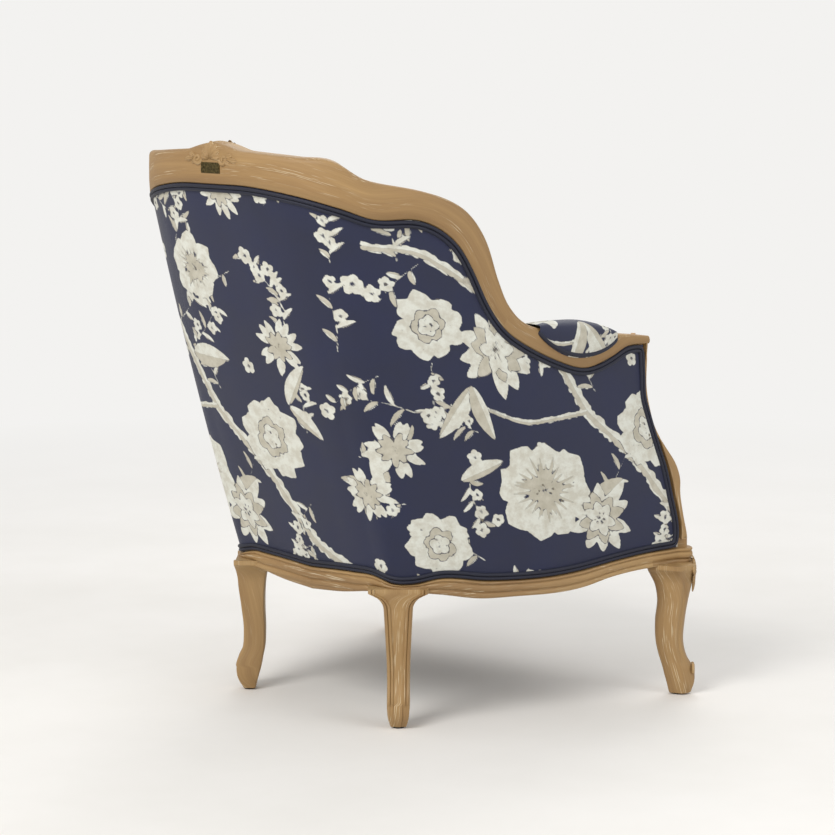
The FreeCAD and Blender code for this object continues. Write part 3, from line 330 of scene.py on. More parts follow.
def sweep(points, outs, profile, closed=False):
    """A profile of (side, out) carried along points; outs are the ways out at each."""
    points, outs = np.asarray(points, float), np.asarray(outs, float)
    if closed:
        ahead, behind = np.roll(points, -1, 0), np.roll(points, 1, 0)
    else:
        ahead = np.concatenate([points[1:], points[-1:]])
        behind = np.concatenate([points[:1], points[:-1]])
    along = ahead - behind
    along /= np.linalg.norm(along, axis=1)[:, None]
    side = np.cross(along, outs)
    side /= np.linalg.norm(side, axis=1)[:, None]
    up = np.cross(side, along)
    rows = [[p + s * a + o * b for a, b in profile] for p, s, o in zip(points, side, up)]
    if closed:
        rows.append(rows[0])
    verts, faces = grid_mesh(rows, close=True, caps=not closed)
    length = np.repeat(arc_lengths(points if not closed else np.concatenate([points, points[:1]])),
                       len(profile))
    across = np.tile(np.array(profile, float), (len(rows), 1))
    return verts, faces, np.column_stack([length, across])


def new_material(name):
    m = bpy.data.materials.new(name)
    m.use_nodes = True
    tree = m.node_tree
    tree.nodes.clear()
    out = tree.nodes.new("ShaderNodeOutputMaterial")
    shader = tree.nodes.new("ShaderNodeBsdfPrincipled")
    tree.links.new(shader.outputs["BSDF"], out.inputs["Surface"])
    return m, tree, shader


def add(tree, kind, sockets=(), **settings):
    """A node with its settings, and its sockets linked from outputs or set to values."""
    n = tree.nodes.new("ShaderNode" + kind)
    for key, value in settings.items():
        setattr(n, key, value)
    for key, value in dict(sockets).items():
        if isinstance(value, bpy.types.NodeSocket):
            tree.links.new(value, n.inputs[key])
        else:
            n.inputs[key].default_value = value
    return n


def stretched(tree, source, scale):
    return add(tree, "Mapping", {"Vector": source, "Scale": scale}).outputs["Vector"]


def noise_of(tree, vector, scale, detail=3.0, roughness=0.55):
    sockets = {"Vector": vector, "Scale": scale, "Detail": detail, "Roughness": roughness}
    return add(tree, "TexNoise", sockets).outputs["Fac"]


def ramp(tree, value, low, high, to_low=0.0, to_high=1.0):
    sockets = {"Value": value, "From Min": low, "From Max": high, "To Min": to_low, "To Max": to_high}
    return add(tree, "MapRange", sockets).outputs["Result"]


def math_of(tree, operation, a, b):
    return add(tree, "Math", {0: a, 1: b}, operation=operation).outputs[0]


def mixed(tree, share, a, b, blend="MIX"):
    n = add(tree, "Mix", data_type="RGBA", blend_type=blend)
    for key, value in ((0, share), (6, a), (7, b)):
        if isinstance(value, bpy.types.NodeSocket):
            tree.links.new(value, n.inputs[key])
        else:
            n.inputs[key].default_value = value
    return n.outputs[2]


def coordinates(tree, source):
    if source == "grain":
        return add(tree, "Attribute", attribute_name="grain").outputs["Vector"]
    return add(tree, "TexCoord").outputs[source]


def colour(r, g, b):
    """A colour as it looks on screen, 0 to 255, as the shader wants it."""
    def linear(c):
        c /= 255
        return c / 12.92 if c <= 0.04045 else ((c + 0.055) / 1.055) ** 2.4
    return (linear(r), linear(g), linear(b), 1.0)


def wood_material(name, dark, middle, light, limed, source="grain", rough=0.55):
    """Oak: long streaks, short pores filled with pale lime, and a little depth in both."""
    m, tree, shader = new_material(name)
    v = coordinates(tree, source)
    streak = noise_of(tree, stretched(tree, v, (1.6, 34, 34)), 1.0, 5, 0.62)
    broad = noise_of(tree, stretched(tree, v, (1.1, 6, 6)), 1.0, 2)
    fine = noise_of(tree, stretched(tree, v, (9, 420, 420)), 1.0, 3, 0.6)
    pores = noise_of(tree, stretched(tree, v, (22, 620, 620)), 1.0, 2, 0.5)
    where = noise_of(tree, stretched(tree, v, (3, 45, 45)), 1.0, 2)
    base = mixed(tree, ramp(tree, streak, 0.34, 0.66), dark, middle)
    base = mixed(tree, ramp(tree, broad, 0.42, 0.68), base, light)
    base = mixed(tree, ramp(tree, fine, 0.35, 0.7, 0.0, 0.35), base, dark)
    lime = math_of(tree, "MULTIPLY", ramp(tree, pores, 0.60, 0.68), ramp(tree, where, 0.46, 0.62, 0.0, 0.75))
    base = mixed(tree, lime, base, limed)
    tree.links.new(base, shader.inputs["Base Color"])
    tree.links.new(ramp(tree, streak, 0.3, 0.7, rough - 0.06, rough + 0.08), shader.inputs["Roughness"])
    height = math_of(tree, "ADD", math_of(tree, "MULTIPLY", fine, 0.5), pores)
    bump = add(tree, "Bump", {"Height": height, "Strength": 0.25, "Distance": 0.0006})
    tree.links.new(bump.outputs["Normal"], shader.inputs["Normal"])
    return m


def cloth_material(name, ground, printed=False, weave=0.0007, source="grain", rough=0.62, sheen=0.25):
    """Woven cloth; printed adds the inks of the colour layer on its faces."""
    m, tree, shader = new_material(name)
    v = coordinates(tree, source)
    mottle = noise_of(tree, v, 9.0, 3)
    base = mixed(tree, ramp(tree, mottle, 0.3, 0.7), ground[0], ground[1])
    if printed:
        ink = add(tree, "VertexColor", layer_name="ink").outputs["Color"]
        parts = add(tree, "SeparateColor", {"Color": ink})
        wash = noise_of(tree, v, 55.0, 4, 0.65)
        cream = mixed(tree, ramp(tree, wash, 0.40, 0.62), colour(228, 229, 219), colour(208, 205, 191))
        beige = mixed(tree, ramp(tree, wash, 0.35, 0.65), colour(205, 200, 184), colour(184, 178, 160))
        for channel, tone in (("Blue", colour(128, 120, 100)), ("Green", beige), ("Red", cream)):
            base = mixed(tree, ramp(tree, parts.outputs[channel], 0.36, 0.62), base, tone)
    threads = 0.314 / weave
    warp = add(tree, "TexWave", {"Vector": v, "Scale": threads}, wave_type="BANDS", bands_direction="X")
    weft = add(tree, "TexWave", {"Vector": v, "Scale": threads}, wave_type="BANDS", bands_direction="Y")
    height = math_of(tree, "ADD", warp.outputs["Fac"], weft.outputs["Fac"])
    base = mixed(tree, ramp(tree, height, 0.0, 2.0, 0.0, 0.16), base, (0.0, 0.0, 0.0, 1.0))
    tree.links.new(base, shader.inputs["Base Color"])
    tree.links.new(ramp(tree, mottle, 0.3, 0.7, rough - 0.05, rough + 0.05), shader.inputs["Roughness"])
    shader.inputs["Sheen Weight"].default_value = sheen
    shader.inputs["Sheen Roughness"].default_value = 0.45
    bump = add(tree, "Bump", {"Height": height, "Strength": 0.22, "Distance": 0.0002})
    tree.links.new(bump.outputs["Normal"], shader.inputs["Normal"])
    return m


def solid_material(name, a, b, scale, rough, metallic=0.0, bump_depth=0.0001, source="Object"):
    """Metal or plastic with uneven tone and wear."""
    m, tree, shader = new_material(name)
    v = coordinates(tree, source)
    tone = noise_of(tree, v, scale, 5, 0.65)
    tree.links.new(mixed(tree, ramp(tree, tone, 0.35, 0.65), a, b), shader.inputs["Base Color"])
    tree.links.new(ramp(tree, tone, 0.3, 0.7, rough + 0.12, rough - 0.08), shader.inputs["Roughness"])
    shader.inputs["Metallic"].default_value = metallic
    bump = add(tree, "Bump", {"Height": tone, "Strength": 0.3, "Distance": bump_depth})
    tree.links.new(bump.outputs["Normal"], shader.inputs["Normal"])
    return m


OAK = wood_material("limed_oak", colour(138, 106, 66), colour(170, 137, 90), colour(190, 160, 112),
                    colour(222, 208, 178))
FRAME_WOOD = wood_material("sawn_frame_wood", colour(150, 118, 82), colour(178, 146, 104),
                           colour(196, 166, 124), colour(206, 184, 150), "Object", 0.7)
DOWEL_WOOD = wood_material("dowel_beech", colour(180, 142, 98), colour(200, 164, 120),
                           colour(212, 180, 140), colour(220, 196, 160), "Object", 0.6)
PRINT = cloth_material("printed_satin", (colour(19, 25, 55), colour(24, 31, 66)), printed=True, sheen=0.10)
WELT = cloth_material("welt_cloth", (colour(9, 13, 34), colour(14, 19, 44)), weave=0.0009, sheen=0.05)
DECK = cloth_material("deck_cloth", (colour(20, 26, 54), colour(26, 33, 64)), weave=0.0012, sheen=0.1)
LINING = cloth_material("lining_cloth", (colour(24, 24, 26), colour(34, 34, 36)), weave=0.0010,
                        source="Object")
SPRING = solid_material("oiled_spring_wire", colour(92, 92, 96), colour(130, 130, 134), 90, 0.35, 1.0)
SCREW = solid_material("zinc_screws", colour(150, 150, 154), colour(185, 185, 188), 140, 0.3, 1.0)
BRASS = solid_material("aged_brass", colour(58, 52, 34), colour(112, 98, 62), 260, 0.42, 1.0, 0.0002)
PLASTIC = solid_material("glide_plastic", colour(20, 20, 22), colour(34, 34, 36), 120, 0.45)


# The print: a free arrangement of large flowers, leaves, a branch and small blossoms
TILE_WIDTH, TILE_HEIGHT, RASTER = 0.72, 0.66, 0.0012


def placed(points, at, angle):
    c, s = math.cos(angle), math.sin(angle)
    return [(at[0] + x * c - y * s, at[1] + x * s + y * c) for x, y in points]


def petal(length, width, tip=0.6, frill=0.0, bend=0.0, rng=None, count=11):
    """An outline from the base round the tip; tip is where it is widest."""
    side = []
    power = math.log(0.5) / math.log(tip)
    for i in range(1, count):
        t = i / count
        w = width / 2 * math.sin(math.pi * t ** power) ** 0.8
        side.append((length * t, w))
    points = [(0, 0)] + side + [(length, 0)] + [(x, -y) for x, y in reversed(side)]
    out = []
    for x, y in points:
        share = x / length
        grow = 1 + (rng.uniform(-frill, frill) * share if rng and frill else 0)
        turn = bend * share
        c, s = math.cos(turn), math.sin(turn)
        out.append(((x * c - y * s) * grow, (x * s + y * c) * grow))
    return out


def widened(points, by):
    """The same outline drawn larger all round."""
    cx = sum(p[0] for p in points) / len(points)
    cy = sum(p[1] for p in points) / len(points)
    out = []
    for x, y in points:
        d = math.hypot(x - cx, y - cy) or 1.0
        out.append((x + (x - cx) / d * by, y + (y - cy) / d * by))
    return out


def draw_petal(shapes, at, angle, length, width, rng, tip=0.6, frill=0.05, bend=0.0, veins=3, fill=CREAM):
    outline = petal(length, width, tip, frill, bend, rng)
    shapes.append((placed(widened(outline, 0.0009), at, angle), EDGE))
    shapes.append((placed(outline, at, angle), fill))
    other = BEIGE if fill == CREAM else CREAM
    for k in range(veins):
        spread = (k - (veins - 1) / 2) * width / length * 0.42
        reach = length * rng.uniform(0.55, 0.85)
        streak = petal(reach, width * 0.085, 0.35, 0, bend * 0.8, None, 5)
        shapes.append((placed(streak, at, angle + spread), other))


def draw_flower(shapes, at, radius, rings, rng, centre=0.16):
    """rings: (petals, length, width, where widest, frill, veins, fill) from the outside in."""
    for count, length, width, tip, frill, veins, fill in rings:
        start = rng.uniform(0, 6.28)
        order = list(range(count))
        rng.shuffle(order)
        for k in order:
            angle = start + 2 * math.pi * k / count + rng.uniform(-0.12, 0.12)
            draw_petal(shapes, at, angle, radius * length * rng.uniform(0.9, 1.06), radius * width, rng,
                       tip, frill, rng.uniform(-0.15, 0.15), veins, fill)
    for k in range(9):
        angle, reach = rng.uniform(0, 6.28), radius * centre * math.sqrt(rng.random())
        dot = petal(radius * 0.06, radius * 0.05, 0.5, 0, 0, None, 4)
        place = (at[0] + math.cos(angle) * reach, at[1] + math.sin(angle) * reach)
        shapes.append((placed(dot, place, angle), BEIGE if k % 2 else EDGE))


PEONY = ((9, 1.0, 0.62, 0.66, 0.07, 3, CREAM), (8, 0.74, 0.50, 0.66, 0.08, 2, CREAM),
         (6, 0.50, 0.38, 0.62, 0.08, 2, BEIGE), (5, 0.30, 0.26, 0.6, 0.05, 0, CREAM))
OPEN = ((8, 1.0, 0.70, 0.74, 0.09, 5, CREAM), (6, 0.40, 0.22, 0.6, 0.06, 1, BEIGE))
LOTUS = ((10, 1.0, 0.40, 0.52, 0.02, 2, CREAM), (8, 0.76, 0.34, 0.52, 0.02, 1, BEIGE),
         (6, 0.50, 0.28, 0.55, 0.02, 1, CREAM))
DAISY = ((13, 1.0, 0.26, 0.62, 0.03, 1, CREAM), (9, 0.58, 0.20, 0.6, 0.03, 0, BEIGE))
BLOSSOM = ((5, 1.0, 0.80, 0.62, 0.06, 1, CREAM),)


def draw_leaf(shapes, at, angle, length, width, bend=0.25):
    whole = petal(length, width, 0.45, 0, bend, None, 12)
    half = whole[:len(whole) // 2 + 1]
    shapes.append((placed(widened(whole, 0.0007), at, angle), EDGE))
    shapes.append((placed(whole, at, angle), CREAM))
    shapes.append((placed(half, at, angle), BEIGE))


def draw_stem(shapes, points, width, rng, bumps=0.0):
    """A stem or a branch along points, tapering, with an uneven edge where bumps is set."""
    line = rounded_line(points, 0.006, 10)
    along = np.gradient(line, axis=0)
    along /= np.linalg.norm(along, axis=1)[:, None]
    side = np.stack([-along[:, 1], along[:, 0]], 1)
    taper = np.linspace(1, 0.55, len(line))

    def edge(sign):
        rough = np.array([1 + rng.uniform(-bumps, bumps * 1.6) for _ in line])
        return line + side * (sign * width / 2 * taper * rough)[:, None]

    def strip(left, right, ink):
        shapes.append((np.concatenate([edge(left), edge(right)[::-1]]), ink))

    strip(1, -1, CREAM)
    if bumps:
        strip(0.15, -0.75, BEIGE)


def draw_sprig(shapes, at, angle, length, rng, leaves=5, flowers=0, size=0.02):
    points = [(0, 0), (length * 0.4, length * 0.06), (length, -length * 0.02)]
    line = rounded_line(placed(points, at, angle), 0.008, 6)
    draw_stem(shapes, line, 0.0022, rng)
    for k in range(leaves):
        p = line[int((k + 0.8) / leaves * (len(line) - 1))]
        side = 1 if k % 2 else -1
        draw_leaf(shapes, tuple(p), angle + side * rng.uniform(0.5, 0.9), size * rng.uniform(1.2, 2.0),
                  size * 0.5, side * 0.3)
    for k in range(flowers):
        p = line[-1 - int(k * len(line) / (flowers + 1))]
        place = (p[0] + rng.uniform(-1, 1) * size * 0.8, p[1] + rng.uniform(-1, 1) * size * 0.8)
        draw_flower(shapes, place, size * rng.uniform(0.5, 0.8), BLOSSOM, rng, centre=0.2)


def tile_shapes():
    rng = random.Random(41)
    shapes = []
    draw_stem(shapes, [(-0.03, 0.06), (0.08, 0.12), (0.15, 0.24), (0.24, 0.34), (0.30, 0.48),
                       (0.42, 0.55), (0.52, 0.62), (0.60, 0.63)], 0.022, rng, 0.28)
    draw_stem(shapes, [(0.24, 0.34), (0.36, 0.33), (0.47, 0.37), (0.56, 0.36)], 0.010, rng, 0.22)
    for at, angle, length, leaves, flowers in (
            ((0.42, 0.55), 1.2, 0.10, 4, 2), ((0.30, 0.48), 2.6, 0.12, 5, 2),
            ((0.56, 0.36), 0.3, 0.10, 5, 2), ((0.08, 0.12), -0.5, 0.12, 5, 3),
            ((0.52, 0.60), -0.7, 0.09, 4, 2), ((0.47, 0.10), 0.5, 0.13, 6, 3),
            ((0.02, 0.52), 1.0, 0.11, 5, 3), ((0.66, 0.46), 1.6, 0.10, 4, 2),
            ((0.20, 0.04), 0.1, 0.10, 5, 0), ((0.60, 0.05), 2.2, 0.08, 4, 2)):
        draw_sprig(shapes, at, angle, length, rng, leaves, flowers)
    for i in range(5):
        for j in range(5):
            x = (i + rng.uniform(0.1, 0.9)) * TILE_WIDTH / 5
            y = (j + rng.uniform(0.1, 0.9)) * TILE_HEIGHT / 5
            draw_sprig(shapes, (x, y), rng.uniform(0, 6.28), rng.uniform(0.06, 0.11), rng,
                       rng.choice((4, 6, 7)), rng.choice((0, 3, 4)), 0.018)
    for at, angle, length, width, bend in (
            ((0.19, 0.22), -0.9, 0.11, 0.030, 0.3), ((0.19, 0.22), -0.4, 0.12, 0.034, -0.2),
            ((0.27, 0.43), 2.9, 0.10, 0.028, 0.3), ((0.27, 0.43), 3.5, 0.09, 0.026, -0.3),
            ((0.46, 0.40), -1.1, 0.11, 0.030, 0.2), ((0.46, 0.40), -1.7, 0.10, 0.028, -0.2),
            ((0.36, 0.54), 2.2, 0.10, 0.028, 0.2), ((0.62, 0.22), 1.3, 0.10, 0.028, 0.2),
            ((0.62, 0.22), 0.6, 0.09, 0.026, -0.3), ((0.06, 0.36), 1.9, 0.09, 0.026, 0.3),
            ((0.06, 0.36), -2.6, 0.08, 0.024, 0.2), ((0.50, 0.24), 2.6, 0.09, 0.026, 0.2)):
        draw_leaf(shapes, at, angle, length, width, bend)
    for at, radius, kind in (
            ((0.12, 0.30), 0.074, PEONY), ((0.345, 0.215), 0.088, OPEN), ((0.245, 0.155), 0.062, LOTUS),
            ((0.40, 0.455), 0.078, LOTUS), ((0.60, 0.30), 0.052, DAISY), ((0.655, 0.225), 0.046, DAISY),
            ((0.52, 0.50), 0.058, PEONY), ((0.05, 0.46), 0.050, DAISY), ((0.20, 0.58), 0.056, OPEN),
            ((0.55, 0.135), 0.060, PEONY), ((0.10, 0.05), 0.046, DAISY), ((0.38, 0.035), 0.044, PEONY)):
        draw_flower(shapes, at, radius, kind, rng)
    for at, radius in (((0.30, 0.60), 0.016), ((0.335, 0.575), 0.013), ((0.62, 0.57), 0.018),
                       ((0.47, 0.28), 0.014), ((0.70, 0.36), 0.016), ((0.28, 0.02), 0.014),
                       ((0.13, 0.42), 0.014), ((0.44, 0.17), 0.013), ((0.66, 0.10), 0.015)):
        draw_flower(shapes, at, radius, BLOSSOM, rng, centre=0.2)
    return shapes


def inked_tile():
    """How far each ink covers the tile, shape over shape, on a fine grid that repeats."""
    nx, ny = int(round(TILE_WIDTH / RASTER)), int(round(TILE_HEIGHT / RASTER))
    field = np.zeros((ny, nx, 3))
    for outline, ink in tile_shapes():
        p = np.asarray(outline, float) / RASTER
        xs = np.arange(math.floor(p[:, 0].min()), math.ceil(p[:, 0].max()) + 1)
        ys = np.arange(math.floor(p[:, 1].min()), math.ceil(p[:, 1].max()) + 1)
        x, y = np.meshgrid(xs + 0.5, ys + 0.5)
        inside = np.zeros(x.shape, bool)
        for (ax, ay), (bx, by) in zip(p, np.roll(p, -1, 0)):
            if ay != by:
                inside ^= ((ay > y) != (by > y)) & (x < (bx - ax) * (y - ay) / (by - ay) + ax)
        j, i = np.nonzero(inside)
        field[ys[j] % ny, xs[i] % nx] = ink
    return sum(np.roll(field, (a, b), (0, 1)) for a in (-1, 0, 1) for b in (-1, 0, 1)) / 9


INKED = inked_tile()


def inks_at(x, y, origin):
    ny, nx = INKED.shape[:2]
    i, j = (x - origin[0]) / RASTER - 0.5, (y - origin[1]) / RASTER - 0.5
    a, b = np.floor(i).astype(int), np.floor(j).astype(int)
    s, t = (i - a)[:, None], (j - b)[:, None]

    def ink(q, r):
        return INKED[r % ny, q % nx]

    near = ink(a, b) * (1 - s) + ink(a + 1, b) * s
    far = ink(a, b + 1) * (1 - s) + ink(a + 1, b + 1) * s
    return near * (1 - t) + far * t


FINE, COARSE = 0.0025, 0.02       # grid of printed cloth, and of the cloth that it hides


def cloth_rows(flat):
    return np.column_stack([flat, np.zeros(len(flat))])


def print_grid(flat_rows, origin=(0.0, 0.0), plain=False, close=False):
    """Cloth as rows of flat places: the places, the faces and the ink at each place."""
    rows = np.asarray(flat_rows, float)
    flat = rows.reshape(-1, 2)
    _, faces = grid_mesh(np.concatenate([rows, np.zeros(rows.shape[:2] + (1,))], 2), close=close)
    inks = np.zeros((len(flat), 3)) if plain else inks_at(flat[:, 0], flat[:, 1], origin)
    return flat, faces, inks


def printed(name, flat_rows, place, origin=(0.0, 0.0), body="chair"):
    flat, faces, inks = print_grid(flat_rows, origin)
    verts = place(flat[:, 0], flat[:, 1])
    return new_object(name, verts, faces, PRINT, body, cloth_rows(flat), inks)


def box_rows(width, height):
    xs = np.linspace(0, width, max(2, int(width / FINE)))
    ys = np.linspace(0, height, max(3, int(height / FINE)))
    return [[(x, y) for y in ys] for x in xs]


# Show wood

SHARP = math.radians(52)


def half_rounds(marks, steps=7):
    """A moulding's points: (place, width, height) half rounds laid side by side."""
    points = []
    for at, width, height in marks:
        for angle in np.linspace(0, math.pi, steps):
            points.append((at + width * (1 - math.cos(angle)) / 2, height * math.sin(angle)))
    return points


def timber(sections, mark, across=1.0):
    """A closed mesh through (points, outline) sections; its grain follows the marked points."""
    rows = [points for points, _ in sections]
    way = arc_lengths(np.array([row[mark] for row in rows]))
    grain = [(s, p * across, q) for s, (_, outline) in zip(way, sections) for p, q in outline]
    verts, faces = grid_mesh(rows, close=True, caps=True)
    return verts, faces, np.array(grain)


def weld(ob):
    """Faces turned outwards, and shading that keeps the sharp corners."""
    bm = bmesh.new()
    bm.from_mesh(ob.data)
    bmesh.ops.recalc_face_normals(bm, faces=bm.faces)
    for e in bm.edges:
        if len(e.link_faces) == 2 and e.calc_face_angle(0) > SHARP:
            e.smooth = False
    bm.to_mesh(ob.data)
    bm.free()


def flip(part):
    """The same part on the other side of the chair."""
    verts, faces, grain = part
    return mirrored(verts), turned(faces), grain


def wood_piece(name, parts, node):
    """One piece of oak from (vertices, faces, grain) parts, in place of a node."""
    verts, faces = joined([(v, f) for v, f, _ in parts])
    ob = new_object(name, verts, faces, OAK, grain=np.concatenate([g for _, _, g in parts]))
    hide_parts(node)
    weld(ob)


def wood_pair(name, parts, node):
    wood_piece("left_" + name, parts, "left_" + node)
    wood_piece("right_" + name, [flip(p) for p in parts], "right_" + node)


# The seat rail: a bead, a broad round and a lower band between dark grooves, in metres
RAIL_MOULDING = half_rounds(((0.0006, 0.0050, 0.0024), (0.0070, 0.0125, 0.0030),
                             (0.0208, 0.0095, 0.0022)))
MOULDING_HEIGHT, MOULDING_END, RAIL_GRAIN, RAIL_MARK = 0.031, 0.0303, 1.3, 5


def rail_section(path, u, side, top, bottom):
    scale = min(1.0, (top - bottom) / MOULDING_HEIGHT)
    inner, frame_top = -RAIL_THICKNESS * MM, FRAME_TOP_Z * MM
    outline = [(-0.008, frame_top), (-0.008, top), (-0.0015, top)]
    outline += [(-0.001 + h, top - d * scale) for d, h in RAIL_MOULDING]
    outline += [(-0.001, top - MOULDING_END * scale), (-0.001, bottom + 0.002), (-0.003, bottom),
                (inner, bottom), (inner, frame_top)]
    at, way = path.at(u), path.way(u)
    return [((at[0] - way[0] * o) * side, at[1] - way[1] * o, z) for o, z in outline], outline


def front_low(a):
    return mix(rail_bottom(1), RAIL_BOTTOM_Z * MM, math.sin(math.pi / 2 * a) ** 2)


def rail_part(places):
    """Seat rail through (path, share) places; shares below 0 or past 1 are the other side."""
    sections = []
    for path, key in places:
        a, side = (abs(key), 1) if 0 <= key <= 1 else (min(abs(key), 2 - key), -1)
        top, bottom = (rail_top(a), rail_bottom(a)) if path is RAIL else (rail_top(1), front_low(a))
        sections.append(rail_section(path, a, side, float(top), float(bottom)))
    return timber(sections, RAIL_MARK, RAIL_GRAIN)


def along(path, start, end, count):
    return [(path, key) for key in np.linspace(start, end, count)]


REAR_START, REAR_END = REAR_LEG_SPAN
wood_piece("rear_rail_moulded", [rail_part(along(RAIL, -REAR_START, REAR_START, 73))], "rear_seat_rail")
wood_piece("front_rail_moulded", [rail_part(along(FRONT, FRONT_LEG_END, 2 - FRONT_LEG_END, 81))],
           "front_seat_rail")
wood_pair("rail_moulded", [rail_part(along(RAIL, REAR_END, FRONT_LEG_START, 101))], "seat_rail")

# Legs
LEG_FLARE, FLARE_RISE = 0.024, 0.010      # the curve that a leg makes with the rail above it
HEAD_PROUD, HEAD_START, HEAD_REACH = 0.0038, 0.040, 0.034
ANKLE_Z, REAR_TOP, FRONT_TOP = 0.060, 0.231, 0.228


def leg_part(profile, foot, heading, section, top):
    """A cabriole leg: sections turned to face outwards along heading, wider at the rail."""
    line = Line(profile, by_first=True)
    rows, grain = [], []
    dx, dy = heading
    for h in np.concatenate([np.linspace(0, ANKLE_Z, 25), np.linspace(ANKLE_Z, top, 46)[1:]]):
        outer, inner, half = (v * MM for v in line.at(min(h / MM, profile[-1][0])))
        near = min(1.0, max(0.0, (h + LEG_FLARE + FLARE_RISE - top) / LEG_FLARE))
        outer += HEAD_PROUD * float(smooth((h - top + HEAD_START) / HEAD_REACH))
        wide = LEG_FLARE * (1 - math.sqrt(max(0.0, 1 - near * near)))
        points = section(outer, inner, half, wide, h)
        z = h + GLIDE_HEIGHT * MM
        rows.append([(foot[0] * MM + dx * a - dy * b, foot[1] * MM + dy * a + dx * b, z)
                     for a, b in points])
        grain += [(z, s, 0.01) for s in arc_lengths(np.array(points))]
    verts, faces = grid_mesh(rows, close=True, caps=True)
    return verts, faces, np.array(grain)


def rear_section(outer, inner, half, wide, h):
    """A flat panel between double beads on the outer face; plain below the moulding."""
    drawn = float(smooth((h - 0.036) / 0.006))
    half += wide
    bead = min(0.0105, half * 0.55) / 2
    height = 0.0028 * drawn + 0.0003
    start = 0.0008 - half
    left = [(outer - 0.0020 + up, b)
            for b, up in half_rounds([(start, bead, height), (start + bead, bead, height)], 6)]
    panel, edge = outer - 0.0018 * drawn, left[-1][1] + 0.001
    r, k = 0.003, 0.0009
    back = [(outer - 0.004, half), (inner + r, half), (inner + k, half - k), (inner, half - r)]
    return (left + [(panel, edge), (panel, -edge)] + [(a, -b) for a, b in reversed(left)] + back
            + [(a, -b) for a, b in reversed(back)])


def front_section(outer, inner, half, wide, h):
    """Plain faces at the back, and reeded ones that meet at the knee's rounded ridge."""
    drawn = float(smooth((h - 0.052) / 0.010))
    scale = half / 0.020
    start = np.array([inner + 0.62 * (outer - inner), 0.0185 * scale + wide])
    ridge = 0.0065 * scale + wide * 0.55
    run = np.array([outer, ridge]) - start
    out = np.array([-run[1], run[0]]) / np.linalg.norm(run)
    side = [(inner, 0.006 * scale + wide * 0.5), (inner + 0.003, 0.010 * scale + wide * 0.6)]
    for t in np.linspace(0, 1, 13):
        reeds = 0.0018 * abs(math.sin(math.pi * t * 2)) * drawn + 0.0012 * math.sin(math.pi * t)
        side.append(tuple(start + run * t + out * reeds))
    side += [(outer + 0.0015, ridge * 0.5), (outer + 0.002, 0.0)]
    return side + [(a, -b) for a, b in reversed(side[:-1])]


def dome(at, way, out, length, width, height, bend=0.0, tip=0.62, size=9):
    """A carved leaf or petal: a raised pointed form, with a vein, that lies along way on a face
    looking out."""
    at, way, out = (np.asarray(v, float) for v in (at, way, out))
    way = way / np.linalg.norm(way)
    across = np.cross(out, way)
    across /= np.linalg.norm(across)
    out = np.cross(way, across)
    power = math.log(0.5) / math.log(tip)
    grid, grain = [], []
    for t in np.linspace(0.02, 0.98, size):
        half = width / 2 * math.sin(math.pi * t ** power) ** 0.75 + 0.0002
        row = []
        for c in np.linspace(-1, 1, size):
            lift = height * (1 - c * c) ** 0.6 * math.sin(math.pi * (0.15 + 0.8 * t)) ** 0.7
            lift -= height * 0.25 * math.exp(-(c * 4) ** 2)
            row.append(at + way * length * t + across * (half * c + bend * length * t * t)
                       + out * (lift - 0.0012))
            grain.append((length * t, half * c, lift))
        grid.append(row)
    verts, faces = grid_mesh(grid)
    return verts, faces, np.array(grain)


def scroll(at, way, out, size, thick, turns, sign):
    """A carved scroll that winds inwards on a face."""
    at, way, out = (np.asarray(v, float) for v in (at, way, out))
    way = way / np.linalg.norm(way)
    across = np.cross(out, way) * sign
    t = np.linspace(0, 1, 34)[:, None]
    angle, r = turns * 2 * math.pi * t, size * (1 - t * 0.82)
    points = at + way * (size - r * np.cos(angle)) + across * r * np.sin(angle) * 0.85
    profile = [(thick * 0.5 * math.cos(a), thick * 0.55 * math.sin(a))
               for a in np.linspace(0, 2 * math.pi, 9)[:-1]]
    return sweep(points, np.tile(out, (len(points), 1)), profile)


DIAGONAL = math.sqrt(0.5)
UP, SIDEWAYS = np.array([0, 0, 1.0]), np.array([DIAGONAL, DIAGONAL, 0.0])
KNEE_OUT = np.array([DIAGONAL, -DIAGONAL, 0.12])
KNEE_REACH, KNEE_Z, TOE_REACH, TOE_Z = 0.0175, 0.218, 0.0205, 0.052


def on_front_leg(reach, z):
    """A place on the front leg's outer ridge, so far out from the middle of its foot."""
    return np.array([FRONT_FOOT[0] * MM + reach * DIAGONAL, FRONT_FOOT[1] * MM - reach * DIAGONAL, z])


def knee_carving():
    """A flower among leaves on the knee, and scrolls on the knee and the toe."""
    knee, toe, parts = on_front_leg(KNEE_REACH, KNEE_Z), on_front_leg(TOE_REACH, TOE_Z), []
    for angle in (-2.5, -1.9, -1.25, -0.6, 0.0, 0.6, 1.25, 1.9, 2.5):
        way = SIDEWAYS * math.sin(angle) - UP * math.cos(angle)
        longest = 0.026 if angle else 0.040
        parts.append(dome(knee + KNEE_OUT * 0.001, way, KNEE_OUT, longest, 0.0135, 0.0062,
                          0.10 * math.sin(angle)))
    for angle in np.linspace(0, 2 * math.pi, 7)[:-1]:
        way = UP * math.cos(angle) + SIDEWAYS * math.sin(angle)
        parts.append(dome(knee + KNEE_OUT * 0.0035, way, KNEE_OUT, 0.0125, 0.0085, 0.005))
    for sign in (-1, 1):
        parts.append(scroll(knee + SIDEWAYS * sign * 0.018 + UP * 0.004, SIDEWAYS * sign, KNEE_OUT,
                            0.0075, 0.0045, 1.25, sign))
        parts.append(scroll(toe + SIDEWAYS * sign * 0.004, SIDEWAYS * sign * 0.4 - UP, KNEE_OUT,
                            0.0085, 0.0048, 1.3, sign))
    return parts


